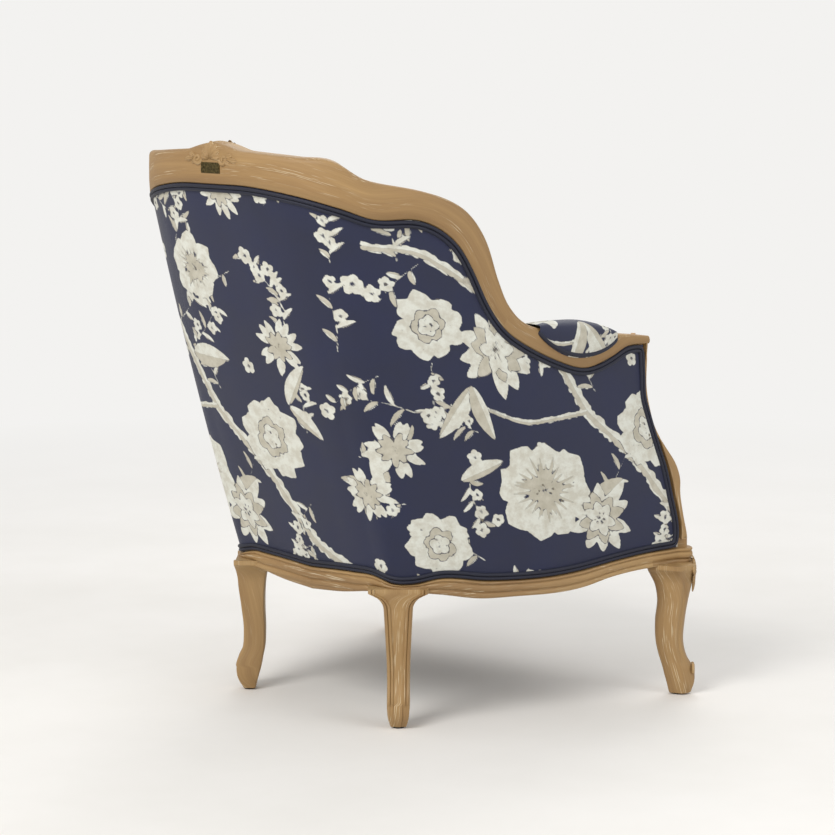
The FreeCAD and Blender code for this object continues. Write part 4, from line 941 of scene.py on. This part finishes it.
wood_pair("rear_leg_carved", [
    rail_part(along(RAIL, REAR_START, REAR_END, 33)),
    leg_part(REAR_LEG, REAR_FOOT, (DIAGONAL, DIAGONAL), rear_section, REAR_TOP)], "rear_leg")
wood_pair("front_leg_carved", [
    rail_part(along(RAIL, FRONT_LEG_START, 1, 13) + along(FRONT, 0.012, FRONT_LEG_END, 31)),
    leg_part(FRONT_LEG, FRONT_FOOT, (DIAGONAL, -DIAGONAL), front_section, FRONT_TOP)]
    + knee_carving(), "front_leg")

# The top rail
CARVING_HALF, CARVING_SWELL, TONGUE_LAST = 66.0, 0.0085, 15.0
TOP_ROUND, TOP_BEAD, TONGUE_DEPTH, TONGUE_NEAR, TONGUE_FAR = 0.0085, 0.0052, 0.016, 0.0105, 0.0295
TOP_MARK = 8


def top_corners(t):
    """The top rail at pair t: its outer lower and upper corners, and the way inwards."""
    a = min(abs(t), ARM_END)
    low_u, low_share = lower_pair.at(a)
    up_u, up_share = upper_pair.at(a)
    side = -1 if t < 0 else 1
    arm_low, crest_low = ARM_Z - ARM_HEIGHT, CREST_Z - CREST_HEIGHT
    low_z, up_z = mix(arm_low, crest_low, low_share) * MM, mix(ARM_Z, CREST_Z, up_share) * MM
    low, up = TOP.at(low_u), TOP.at(up_u)
    way = TOP.way((low_u + up_u) / 2)
    return (np.array([low[0] * side, low[1], low_z]), np.array([up[0] * side, up[1], up_z]),
            np.array([way[0] * side, way[1], 0.0]))


def top_section(t):
    """Plain outside, rounded on top, beads along the inner face, and a tongue behind the cover."""
    low, up, way = top_corners(t)
    rise = up - low
    height = np.linalg.norm(rise)
    rise /= height
    height += CARVING_SWELL * np.clip(1 - (up[0] / (CARVING_HALF * MM)) ** 2, 0, 1) ** 1.5
    thick = TOP_THICKNESS * MM
    r = min(TOP_ROUND, height * 0.34)
    outline = [(0.0006, 0.0022), (0.0022, 0.0004), (height * 0.3, -0.0006), (height * 0.62, -0.0006)]
    quarter = np.linspace(0, math.pi / 2, 7)
    outline += [(height - r + r * math.sin(a), r - r * math.cos(a)) for a in quarter]
    outline += [(height - r + r * math.cos(a), thick - r + r * math.sin(a)) for a in quarter]
    width, at = min(TOP_BEAD, height * 0.2), height - r - 0.001
    marks = [(-at, width, 0.0016), (width - at, width, 0.0016)]
    outline += [(-d, thick - 0.0008 + h) for d, h in half_rounds(marks, 6)]
    flat = max(at - 2 * width - 0.002, height * 0.2)
    depth = TONGUE_DEPTH * float(np.clip(TONGUE_LAST - abs(t), 0.03, 1))
    outline += [(flat, thick - 0.0012), (0.0034, thick - 0.0012), (0.0, thick - 0.004),
                (0.0, TONGUE_FAR), (-depth, TONGUE_FAR), (-depth, TONGUE_NEAR), (0.0, TONGUE_NEAR)]
    return [low + rise * w + way * n for w, n in outline], outline


def top_part(start, end, count):
    return timber([top_section(t) for t in np.linspace(start, end, count)], TOP_MARK)


def crest_carving():
    """A shell between scrolls and leaves, on both faces of the crest and over its top."""
    shell = np.array([0, TOP_REAR_Y * MM - 0.0005, CREST_Z * MM - 0.018])
    parts = []
    for y, out, turn in ((0.0, (0, 1.0, 0.18), 1), (-0.040, (0, -1.0, 0.18), -1)):
        for angle in np.linspace(-1.35, 1.35, 7):
            way = (math.sin(angle), 0.0, math.cos(angle))
            parts.append(dome(shell + (0, y, 0), way, out, 0.029 - 0.0035 * abs(angle), 0.0135,
                              0.0078, tip=0.7))
        for sign in (-1, 1):
            parts.append(scroll(shell + (sign * 0.022, y, -0.001), (sign, 0, 0.05), out, 0.0095,
                                0.0068, 1.3, sign * turn))
            for length, lift, at in ((0.030, -0.10, 0.036), (0.022, 0.35, 0.033),
                                     (0.020, -0.55, 0.030)):
                parts.append(dome(shell + (sign * at, y, 0.001), (sign, 0, lift), out, length,
                                  0.0100, 0.0062))
    for angle in np.linspace(-1.1, 1.1, 5):
        at = (0.020 * math.sin(angle), (TOP_REAR_Y - 20) * MM + 0.016,
              CREST_Z * MM + 0.0075 - 0.003 * abs(angle))
        parts.append(dome(at, (0, -1, 0), (math.sin(angle), 0, 1), 0.033, 0.010, 0.0045, tip=0.5))
    return parts


wood_piece("crest_carved", [top_part(-CREST_END, CREST_END, 121)] + crest_carving(), "crest_rail")
wood_pair("shoulder_moulded", [top_part(CREST_END, SHOULDER_END, 145)], "shoulder_rail")
wood_pair("arm_moulded", [top_part(SHOULDER_END, ARM_END, 121)], "arm_rail")

SUPPORT_ROUND, SUPPORT_WIDTH, SUPPORT_REBATE, SUPPORT_LIP = 0.007, 0.040, 0.0095, 0.006


def support_part():
    """From the arm's front end down to the front leg's head, with a reeded rounded front."""
    rows, grain = [], []
    r = SUPPORT_ROUND
    for z in np.linspace(FRAME_TOP_Z * MM - 0.002, (ARM_Z - ARM_HEIGHT) * MM + 0.004, 71):
        share = float(front_share(z))
        front = np.interp(share, SHARES, SUPPORT_YS)
        outer = float(wall(1.0, z, 0)[0])
        inner, stepped = outer - SUPPORT_WIDTH, outer - SUPPORT_REBATE
        lip = max(np.interp(share, SHARES, COVER_YS) - SUPPORT_LIP, front + 0.003)
        rear = front + SUPPORT_DEPTH * MM
        outline = [(stepped, rear), (stepped, lip), (outer, lip), (outer, front + r)]
        outline += [(outer - r + r * math.cos(a), front + r - r * math.sin(a))
                    for a in np.linspace(0.2, 1.57, 6)]
        for t in np.arange(1, 12) / 12:
            reed = 0.0012 * (1 - abs(math.sin(3 * math.pi * t)))
            outline.append((outer - r - (SUPPORT_WIDTH - 2 * r) * t, front + reed))
        outline += [(inner + r - r * math.sin(a), front + r - r * math.cos(a))
                    for a in np.linspace(0, 1.57, 6)] + [(inner, rear)]
        rows.append([(x, y, z) for x, y in outline])
        grain += [(z, s, 0.02) for s in arc_lengths(np.array(outline))]
    verts, faces = grid_mesh(rows, close=True, caps=True)
    return verts, faces, np.array(grain)


wood_pair("arm_support_moulded", [support_part()], "arm_support")


# Upholstery

COVER_CORD, PAD_CORD, BORDER_CORD = (0.0062, 0.0038), (0.0052, 0.0032), (0.0042, 0.0030)
ARM_CORD, CUSHION_CORD = (0.0036, 0.0030), (0.0038, 0.0036)
LENGTH, PAD_LENGTH = float(RAIL.length), float(PAD.length)


def pad_top(u):
    near = [top_edge(np.clip(np.abs(u) + d, 0, 1)) for d in (-PAD_EDGE_REACH, 0, PAD_EDGE_REACH)]
    return np.min(near, axis=0) - PAD_EDGE_GAP * MM


def band_rows(ends, low, high, length, step=FINE):
    """Cloth on the wall as rows of flat places, in metres round it and up."""
    us = np.linspace(*ends, int(abs(ends[1] - ends[0]) * length / step))
    tall = max(float(high(u)) - float(low(u)) for u in us[::20])
    shares = np.linspace(0, 1, int(tall / step))
    return [[(u * length, mix(float(low(u)), float(high(u)), s)) for s in shares] for u in us]


def band_outline(ends, count, low, high, length):
    us = np.linspace(*ends, count)
    return [(u * length, float(low(u))) for u in us] + [(u * length, float(high(u))) for u in us[::-1]]


def double_cord(size, height):
    """Two half-round cords side by side."""
    points = [(size, -height * 0.5)]
    for k in (1, -1):
        for angle in np.linspace(0, math.pi, 7):
            lift = height * max(0.0, math.sin(angle)) ** 0.8
            points.append((k * size / 2 + size / 2 * math.cos(angle), lift))
    return points + [(-size, -height * 0.5)]


def round_cord(size, height):
    return [(size * math.cos(a), height * math.sin(a)) for a in np.linspace(0, 2 * math.pi, 13)[:-1]]


def welt(name, points, outs, profile, body="chair", closed=True):
    verts, faces, grain = sweep(points, outs, profile, closed)
    ob = new_object(name, verts, faces, WELT, body, grain)
    weld(ob)
    return ob


def smoothed(loop, passes):
    for _ in range(passes):
        loop = (np.roll(loop, 1, 0) + loop * 2 + np.roll(loop, -1, 0)) / 4
    return loop


def closed_line(points, step=0.004):
    points = np.asarray(points, float)
    return resampled(np.concatenate([points, points[:1]]), step)[:-1]


def loop_on_wall(outline, inset, length, layer, pad=False, passes=14):
    """A closed rounded line just inside an outline on the wall, and the ways out along it."""
    p = smoothed(closed_line(outline), passes)
    heading = np.roll(p, -1, 0) - np.roll(p, 1, 0)
    heading /= np.linalg.norm(heading, axis=1)[:, None]
    p = p + np.stack([-heading[:, 1], heading[:, 0]], 1) * inset
    u = np.clip(p[:, 0] / length, -0.999, 0.999)
    return wall(u, p[:, 1], layer(u, p[:, 1]), pad), wall_out(u, p[:, 1], pad) * (-1 if pad else 1)


def unevenness(x, y, scale_x, scale_y, seed):
    return np.array([noise.noise(Vector((a * scale_x, b * scale_y, seed))) for a, b in zip(x, y)])


def area_of(ob):
    ob.data.calc_loop_triangles()
    return sum(t.area for t in ob.data.loop_triangles)


def padding(name, parts, node, body="chair", sharp=True):
    """A padded piece from (vertices, faces, grain, inks) parts, in place of a node."""
    verts, faces = joined([(v, f) for v, f, _, _ in parts])
    ob = new_object(name, verts, faces, PRINT, body, np.concatenate([g for _, _, g, _ in parts]),
                    np.concatenate([i for _, _, _, i in parts]))
    if sharp:
        weld(ob)
    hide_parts(node)


# The outside cover: one stretched piece round the whole back, with its double welt
COVER_TOP_GAP, COVER_BULGE, COVER_WAVES = 0.0006, 0.0012, 0.0004
COVER_WELT_INSET, COVER_WELT_RISE = 0.0060, 0.0005


def cover_low(u):
    return rail_top(u) + EDGE_GAP * MM


def cover_high(u):
    return top_edge(u) - COVER_TOP_GAP


def cover_layer(u, z):
    return np.full(len(u), COVER_RECESS * MM - COVER_WELT_RISE)


def cover_place(x, z):
    u = np.clip(x / LENGTH, -1, 1)
    share = np.clip((z - rail_top(u)) / (top_edge(u) - rail_top(u)), 0, 1)
    n = COVER_RECESS * MM - COVER_BULGE * np.sin(np.pi * share)
    return wall(u, z, n + COVER_WAVES * unevenness(x, z, 7, 3, 4.1))


cover = printed("outside_cover_printed", band_rows((-1, 1), cover_low, cover_high, LENGTH), cover_place,
                (-0.11, 0.17))
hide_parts("outside_cover")
area_of(cover)
COVER_OUTLINE = band_outline((-1, 1), 241, cover_low, cover_high, LENGTH)
piping = welt("outside_double_welt",
              *loop_on_wall(COVER_OUTLINE, COVER_WELT_INSET, LENGTH, cover_layer),
              double_cord(*COVER_CORD))
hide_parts("outside_welt")

# The inside pads: crowned, rolled over at their edges, with a welt round each
PAD_ROLL, PAD_WELT_INSET, PAD_WELT_SINK = 0.014, 0.007, 0.001


def pad_low(u):
    return PAD_LOW_Z * MM


def pad_layer(u, z, span, crown):
    """How far in the pad's face stands."""
    share = np.clip((z - pad_low(u)) / (pad_top(u) - pad_low(u)), 0, 1)
    across = np.clip((u - span[0]) / (span[1] - span[0]), 0, 1)
    swell = (1 - (2 * share - 1) ** 4) * (1 - (2 * across - 1) ** 6)
    edge = np.minimum(np.minimum(u - span[0], span[1] - u) * PAD_LENGTH,
                      np.minimum(z - pad_low(u), pad_top(u) - z))
    roll = np.sqrt(np.clip(1 - (1 - np.clip(edge / PAD_ROLL, 0, 1)) ** 2, 0, 1))
    return (PAD_BACK + PAD_THICKNESS * roll + crown * swell) * MM


def inside_pad(name, span, crown, node, origin, sign=1):
    ends = span[0] * sign, span[1] * sign

    def layer(u, z):
        return pad_layer(u * sign, z, span, crown)

    def part(step, layers, turn=False):
        rows = band_rows(ends, pad_low, pad_top, PAD_LENGTH, step)
        flat, faces, inks = print_grid(rows, origin, plain=turn)
        u = np.clip(flat[:, 0] / PAD_LENGTH, -1, 1)
        verts = wall(u, flat[:, 1], layers(u, flat[:, 1]), True)
        return verts, turned(faces) if turn else faces, cloth_rows(flat), inks

    back = part(COARSE, lambda u, z: np.full(len(u), PAD_BACK * MM), turn=True)
    padding(name, [part(FINE, layer), back], node, sharp=False)
    outline = band_outline(ends, 121, pad_low, pad_top, PAD_LENGTH)
    line = loop_on_wall(outline, PAD_WELT_INSET * sign, PAD_LENGTH,
                        lambda u, z: layer(u, z) - PAD_WELT_SINK, True, 6)
    welt(name + "_welt", *line, double_cord(*PAD_CORD))


ARM_SPAN = ARM_PAD_START, INSIDE_ARM_END
inside_pad("inside_back_padded", (-BACK_PAD_END, BACK_PAD_END), BACK_CROWN, "inside_back_pad", (-0.20, 0.22))
inside_pad("left_inside_arm_padded", ARM_SPAN, ARM_CROWN, "left_inside_arm_pad", (0.1, 0.1))
inside_pad("right_inside_arm_padded", ARM_SPAN, ARM_CROWN, "right_inside_arm_pad", (0.31, 0.3), sign=-1)


class Skin:
    """A surface through rows of points, found by the way along the rows and across them."""

    def __init__(self, rows):
        self.rows = np.asarray(rows, float)
        self.long = arc_lengths(self.rows[:, self.rows.shape[1] // 2])
        self.wide = arc_lengths(self.rows[len(self.rows) // 2])

    def flat(self):
        return box_rows(self.long[-1], self.wide[-1])

    def place(self, x, y):
        i = np.interp(x, self.long, np.arange(len(self.long)))
        j = np.interp(y, self.wide, np.arange(len(self.wide)))
        a = np.minimum(i.astype(int), len(self.long) - 2)
        b = np.minimum(j.astype(int), len(self.wide) - 2)
        s, t, r = (i - a)[:, None], (j - b)[:, None], self.rows
        near = r[a, b] * (1 - s) + r[a + 1, b] * s
        far = r[a, b + 1] * (1 - s) + r[a + 1, b + 1] * s
        return near * (1 - t) + far * t

    def part(self, origin):
        flat, faces, inks = print_grid(self.flat(), origin)
        return self.place(flat[:, 0], flat[:, 1]), faces, cloth_rows(flat), inks


def pair_of(u):
    low, high = 0.0, ARM_END
    for _ in range(30):
        middle = (low + high) / 2
        if upper_pair.value(middle) < u:
            low = middle
        else:
            high = middle
    return low


# The small pads that saddle the arms, each with a flap on both sides and a welt round it
ARM_PAD_THICKNESS, ARM_PAD_SIDE, ARM_PAD_DROP, ARM_PAD_ROWS, ARM_PAD_COLS = 20.0, 7.0, 42.0, 61, 49


def arm_pad_rows(sign):
    rows = []
    thick = TOP_THICKNESS
    for share_along in np.linspace(0, 1, ARM_PAD_ROWS):
        share = math.sin(math.pi * mix(0.03, 0.97, share_along)) ** 0.6
        low, up, way = top_corners(pair_of(mix(*ARM_PAD_SPAN, share_along)))
        rise = up - low
        height = np.linalg.norm(rise)
        rise /= height
        drop = min(ARM_PAD_DROP * share, height / MM * 0.92 + 14)
        top, side = ARM_PAD_THICKNESS * share, ARM_PAD_SIDE * share
        half = [(-drop, -0.5), (-drop + side * 0.5, -side * 0.8), (-drop * 0.4, -side * 1.15),
                (top * 0.1, -side * 1.1), (top * 0.62, -side * 0.55), (top * 0.93, side)]
        corner = half + [(top * 1.02, thick / 2)] + [(w, thick - n) for w, n in reversed(half)]
        line = resampled(corner, 0.5)
        at = np.linspace(0, len(line) - 1, ARM_PAD_COLS)
        line = np.stack([np.interp(at, np.arange(len(line)), c) for c in line.T], 1)
        for _ in range(4):
            line[1:-1] = (line[:-2] + 2 * line[1:-1] + line[2:]) / 4
        rows.append([(up + rise * w * MM + way * n * MM) * (sign, 1, 1) for w, n in line])
    return np.array(rows)


def arm_pad(side, sign, origin):
    rows = arm_pad_rows(sign)
    under = [[row[0] + (row[-1] - row[0]) * t for t in np.linspace(0, 1, 5)] for row in rows]
    below, below_faces = grid_mesh(under)
    padding(side + "_arm_padded", [Skin(rows).part(origin),
                                   (below, below_faces, below, np.zeros((len(below), 3)))],
            side + "_arm_pad")
    loop = smoothed(closed_line(np.concatenate([rows[:, 2], rows[::-1, -3]])), 3)
    outs = loop - (rows[:, ARM_PAD_COLS // 2].mean(0) - (0, 0, 0.03))
    outs[:, 2] *= 0.2
    outs /= np.linalg.norm(outs, axis=1)[:, None]
    welt(side + "_arm_pad_welt", loop, outs, round_cord(*ARM_CORD))


arm_pad("left", 1, (0.05, 0.02))
arm_pad("right", -1, (0.35, 0.33))

# The seat: deck pad, loose crowned cushion, and the covered border in front of them
DECK_LOW_Z, DECK_TOP_Z, CUSHION_HEIGHT, CUSHION_CROWN, CUSHION_DOME = 279.8, 317.8, 108.0, 26.0, 150.0
LAYER_GAP, REBATE, DECK_GAP, BORDER_START, CUSHION_SETBACK = 1.0, 8.0, 2.0, 0.31, 12.0
CUSHION_ROLL, CUSHION_BASE, BASE_ROLL = 0.16, (6, 5.6), 22
PUCKERS, PUCKER_DEPTH, PUCKER_REACH, ROUGHNESS, ROUGH_REACH = 74, 0.6, 9, 1.8, 30
DUST_COVER_Z, DUST_COVER_GAP, LINING_RINGS = 0.208, 2.0, 30
SIDE_PLACES = ((0, 146), (58, 145), (100, 143), (128, 141), (146, 137), (175, 100), (185, 72), (210, 20),
               (235, -47), (255, -115), (270, -185), (281, -256))


def half_size(plan):
    return (plan.max(0) + plan.min(0)) / 2, (plan.max(0) - plan.min(0)) / 2


def seat_plan(front_inset):
    """The closed outline of what lies on the seat, in millimetres, evenly spaced."""
    corner_x = SIDE_PLACES[-1][0]
    front_y = float(FRONT.at(FRONT_LEG_END)[1]) / MM + front_inset
    points = list(SIDE_PLACES) + [(corner_x, front_y + 40), (corner_x - 4, front_y + 20),
                                  (corner_x - 16, front_y + 4.8), (corner_x - 40, front_y)]
    points += [(corner_x * s, mix(SEAT_FRONT_Y + front_inset, front_y, s * s)) for s in (0.6, 0.3, 0)]
    return smoothed(closed_line(points + [(-x, y) for x, y in points[-2:0:-1]], 4), 8)


def plan_ring(plan, inset, z):
    middle, half = half_size(plan)
    p = middle + (plan - middle) * (1 - inset / half)
    return np.column_stack([p * MM, np.full(len(p), z * MM)])


def plan_share(plan, x, y):
    """How far out a place is, 0 in the plan's middle and 1 on its line."""
    middle = half_size(plan)[0]
    d = plan - middle
    angle = np.arctan2(d[:, 1], d[:, 0])
    order = np.argsort(angle)
    px, py = x / MM - middle[0], y / MM - middle[1]
    edge = np.interp(np.arctan2(py, px), angle[order], np.linalg.norm(d, axis=1)[order],
                     period=2 * math.pi)
    return np.hypot(px, py) / edge


def cushion():
    """Top and bottom panels, and a side band that draws in between two welted seams."""
    low = DECK_TOP_Z + LAYER_GAP
    high, roll = low + CUSHION_HEIGHT, CUSHION_HEIGHT * CUSHION_ROLL
    plan = seat_plan(CUSHION_SETBACK)
    half = half_size(plan)[1].mean()
    middle = half_size(plan_ring(plan, 1.0, 0)[:, :2])[0]

    def panel(edge, count, origin, plain, height):
        flat, faces, inks = print_grid([middle + (edge - middle) * t for t in np.linspace(0.004, 1, count)],
                                       origin, plain, close=True)
        x, y = flat[:, 0], flat[:, 1]
        z = height(x, y, (1 - plan_share(plan, x, y)) * half)
        return np.column_stack([x, y, z * MM]), turned(faces) if plain else faces, cloth_rows(flat), inks

    def top(x, y, inset):
        inset = inset + 1.0
        fall = 1 - np.clip(inset / CUSHION_DOME, 0, 1)
        lift = (roll + CUSHION_CROWN) * np.sqrt(np.clip(1 - fall ** 2, 0, 1))
        rough = unevenness(x, y, 9, 9, 2.0) * np.clip(inset / ROUGH_REACH, 0, 1) * ROUGHNESS
        pucker = PUCKER_DEPTH * np.sin(np.arctan2(y, x) * PUCKERS) * np.exp(-inset / PUCKER_REACH)
        return high - roll + lift + rough + pucker

    def bottom(x, y, inset):
        near = np.clip(inset / BASE_ROLL, 0, 1)
        return low + CUSHION_BASE[0] - CUSHION_BASE[1] * np.sqrt(1 - (1 - near) ** 2)

    rows = []
    for inset, z in ((3, low + 6), (0.5, low + roll), (2.6, low + roll + 12),
                     (4.2, low + CUSHION_HEIGHT * 0.4), (4.6, low + CUSHION_HEIGHT / 2),
                     (4.2, low + CUSHION_HEIGHT * 0.6), (2.6, high - roll - 12),
                     (0.5, high - roll - 3), (1.0, high - roll + 2)):
        ring = plan_ring(plan, inset, z)
        rows.append(np.concatenate([ring, ring[:1]]))
    padding("seat_cushion_crowned", [
        panel(plan_ring(plan, 1.0, 0)[:, :2], 110, (-0.30, -0.46), False, top),
        Skin(np.array(rows).transpose(1, 0, 2)).part((0.2, 0.25)),
        panel(plan_ring(plan, 3, 0)[:, :2], 40, (0.0, 0.0), True, bottom)],
        "seat_cushion", "cushion")
    for name, z in (("lower", low + roll + 1), ("upper", high - roll)):
        ring = plan_ring(plan, 0.0, z)
        heading = np.roll(ring, -1, 0) - np.roll(ring, 1, 0)
        outs = np.column_stack([heading[:, 1], -heading[:, 0], np.zeros(len(ring))])
        outs /= np.linalg.norm(outs, axis=1)[:, None]
        outs *= np.sign((outs * (ring - ring.mean(0))).sum(1))[:, None]
        welt("cushion_welt_" + name, ring, outs, round_cord(*CUSHION_CORD), "cushion")


cushion()


def deck():
    plan = seat_plan(REBATE + DECK_GAP)
    levels = ((60, DECK_LOW_Z), (7, DECK_LOW_Z), (4.5, DECK_LOW_Z + 3), (4, DECK_LOW_Z + 10),
              (4, DECK_TOP_Z - 10), (6, DECK_TOP_Z - 4), (10, DECK_TOP_Z - 0.5), (60, DECK_TOP_Z),
              (140, DECK_TOP_Z))
    verts, faces = grid_mesh([plan_ring(plan, inset, z) for inset, z in levels], close=True, caps=True)
    ob = new_object("deck_stuffed", verts, faces, DECK, "chair", verts)
    weld(ob)
    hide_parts("deck_pad")


deck()


def border_row(z, n):
    row = []
    for w in np.linspace(BORDER_START, 2 - BORDER_START, 141):
        a, side = (w, 1) if w <= 1 else (2 - w, -1)
        x, y = FRONT.at(a, n * MM)
        row.append((x * side, y, z))
    return np.array(row)


def border():
    """The strip between the front rail and the cushion, with a welt along both its edges."""
    low, high = float(rail_top(1)) + EDGE_GAP * MM, (DECK_TOP_Z - 9.5) * MM
    levels = ((low, 0.0), (low + 0.004, -0.6), (mix(low, high, 0.35), -1.6), (mix(low, high, 0.65), -1.6),
              (high - 0.003, -0.4), (high, 2.0))
    skin = Skin(np.array([border_row(z, COVER_RECESS + n) for z, n in levels]).transpose(1, 0, 2))
    ob = printed("front_border_printed", skin.flat(), skin.place, (0.05, 0.4))
    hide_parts("front_border")
    area_of(ob)
    for name, z in (("low", low + 0.005), ("high", high - 0.004)):
        line = border_row(z, COVER_RECESS - 0.8)
        outs = np.cross(np.gradient(line, axis=0), (0, 0, 1.0))
        outs /= np.linalg.norm(outs, axis=1)[:, None]
        outs *= np.where(outs[:, 1] > 0, -1, 1)[:, None]
        welt("front_border_welt_" + name, line, outs, double_cord(*BORDER_CORD), closed=False)


border()


def lining():
    """The dust cover: flat under the springs, and up against the rails at its edges."""
    inset = (RAIL_THICKNESS + DUST_COVER_GAP) * MM
    points = [tuple(RAIL.at(u, inset)) for u in np.linspace(0, FRONT_LEG_START, 61)]
    points += [tuple(FRONT.at(w, inset)) for w in np.linspace(FRONT_LEG_END, 1, 21)]
    points = resampled(points + [(-x, y) for x, y in reversed(points[1:-1])], 0.008)
    middle = half_size(points)[0]
    rings = [middle + (points - middle) * t for t in np.linspace(0.01, 1, LINING_RINGS)]
    flat, faces, _ = print_grid(rings, plain=True)
    reach = np.repeat(np.linspace(0.01, 1, LINING_RINGS), len(points))
    near = [np.argmin(np.hypot(RAIL.xy[:, 0] - abs(x), RAIL.xy[:, 1] - y)) for x, y in points]
    edge = np.tile(np.maximum(rail_bottom(RAIL.keys[near]), DUST_COVER_Z) + 0.0008, LINING_RINGS)
    z = mix(DUST_COVER_Z + 0.0002 + 0.0003 * np.sin(flat[:, 0] * 90), edge, smooth((reach - 0.7) / 0.28))
    ob = new_object("dust_cover_cloth", np.column_stack([flat, z]), faces, LINING, "chair", cloth_rows(flat))
    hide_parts("dust_cover")
    area_of(ob)


lining()


# Materials of the CAD nodes that stay
STAYING = (
    (FRAME_WOOD, ("left_back_post", "right_back_post", "back_stay_rail", "left_arm_stay_rail",
                  "right_arm_stay_rail", "corner_blocks")),
    (DOWEL_WOOD, ("frame_dowels",)),
    (SCREW, ("block_screws", "spring_clips")),
    (SPRING, ("seat_springs",)),
    (PLASTIC, ("foot_glides",)),
    (BRASS, ("crest_plate", "plate_pins")),
)
for material, nodes in STAYING:
    for node in nodes:
        for material_slot in bpy.data.objects[node].material_slots:
            material_slot.material = material

# A plain pale floor that fades into the background, so that no edge of it shows
FLOOR_RINGS = (0.01, 1.0, 3.0, 8.0, 20.0, 60.0)
BACKGROUND = colour(243, 242, 240)
turns = np.linspace(0, 2 * math.pi, 65)[:-1]
stage_verts, stage_faces = grid_mesh(
    [[(r * math.cos(t), r * math.sin(t), 0.0) for t in turns] for r in FLOOR_RINGS], close=True)
stage_faces.append(tuple(range(len(turns))))
pale, tree, shader = new_material("pale_floor")
place = coordinates(tree, "Object")
tone = ramp(tree, noise_of(tree, place, 2.2, 4, 0.6), 0.3, 0.7)
tree.links.new(mixed(tree, tone, colour(236, 234, 230), colour(242, 240, 237)), shader.inputs["Base Color"])
shader.inputs["Roughness"].default_value = 0.85
away = add(tree, "VectorMath", {0: place}, operation="LENGTH").outputs["Value"]
seen = add(tree, "LightPath").outputs["Is Camera Ray"]
share = math_of(tree, "MULTIPLY", ramp(tree, away, 1.2, 3.4), seen)
glow = add(tree, "Emission", {"Color": BACKGROUND, "Strength": 1.0})
joint = add(tree, "MixShader", {0: share, 1: shader.outputs["BSDF"], 2: glow.outputs["Emission"]})
tree.links.new(joint.outputs[0], tree.nodes["Material Output"].inputs["Surface"])
me = bpy.data.meshes.new("pale_floor")
me.from_pydata([tuple(map(float, p)) for p in stage_verts], [], stage_faces)
me.materials.append(pale)
stage = bpy.data.objects.new("pale_floor", me)
bpy.context.scene.collection.objects.link(stage)


def lamp(name, place, target, size, power, tint=(1.0, 1.0, 1.0)):
    light = bpy.data.lights.new(name, "AREA")
    light.shape, light.size, light.energy, light.color = "DISK", size, power, tint
    ob = bpy.data.objects.new(name, light)
    ob.location = place
    ob.rotation_euler = (Vector(target) - Vector(place)).to_track_quat("-Z", "Y").to_euler()
    bpy.context.scene.collection.objects.link(ob)


lamp("key", (-0.6, 3.4, 3.2), (0, 0, 0.45), 2.2, 105, (1.0, 0.985, 0.96))
lamp("fill", (-4.2, -0.6, 2.4), (0, 0, 0.5), 2.8, 42, (0.97, 0.985, 1.0))
lamp("over", (1.4, -2.4, 3.4), (0, 0, 0.5), 2.6, 50)

# The surroundings light the chair softly, and look like the far floor to the camera
world = bpy.data.worlds.new("studio")
bpy.context.scene.world = world
world.use_nodes = True
tree = world.node_tree
tree.nodes.clear()
out = tree.nodes.new("ShaderNodeOutputWorld")
light = add(tree, "Background", {"Color": (1.0, 0.995, 0.985, 1.0), "Strength": 0.55})
backdrop = add(tree, "Background", {"Color": BACKGROUND, "Strength": 1.0})
path = add(tree, "LightPath")
direct = math_of(tree, "MAXIMUM", path.outputs["Is Camera Ray"],
                 math_of(tree, "MAXIMUM", path.outputs["Is Glossy Ray"], path.outputs["Is Transmission Ray"]))
choice = add(tree, "MixShader", {0: direct, 1: light.outputs["Background"],
                                 2: backdrop.outputs["Background"]})
tree.links.new(choice.outputs[0], out.inputs["Surface"])

# The camera of the photo
camera = bpy.data.cameras.new("camera")
camera.lens, camera.sensor_width = 118.13, 36.0
view = bpy.data.objects.new("camera", camera)
view.location = (-3.356, 3.184, 1.138)
view.rotation_euler = (math.radians(81.87), 0.0, math.radians(226.0))
bpy.context.scene.collection.objects.link(view)
bpy.context.scene.camera = view
bpy.context.scene.view_settings.view_transform = "Standard"
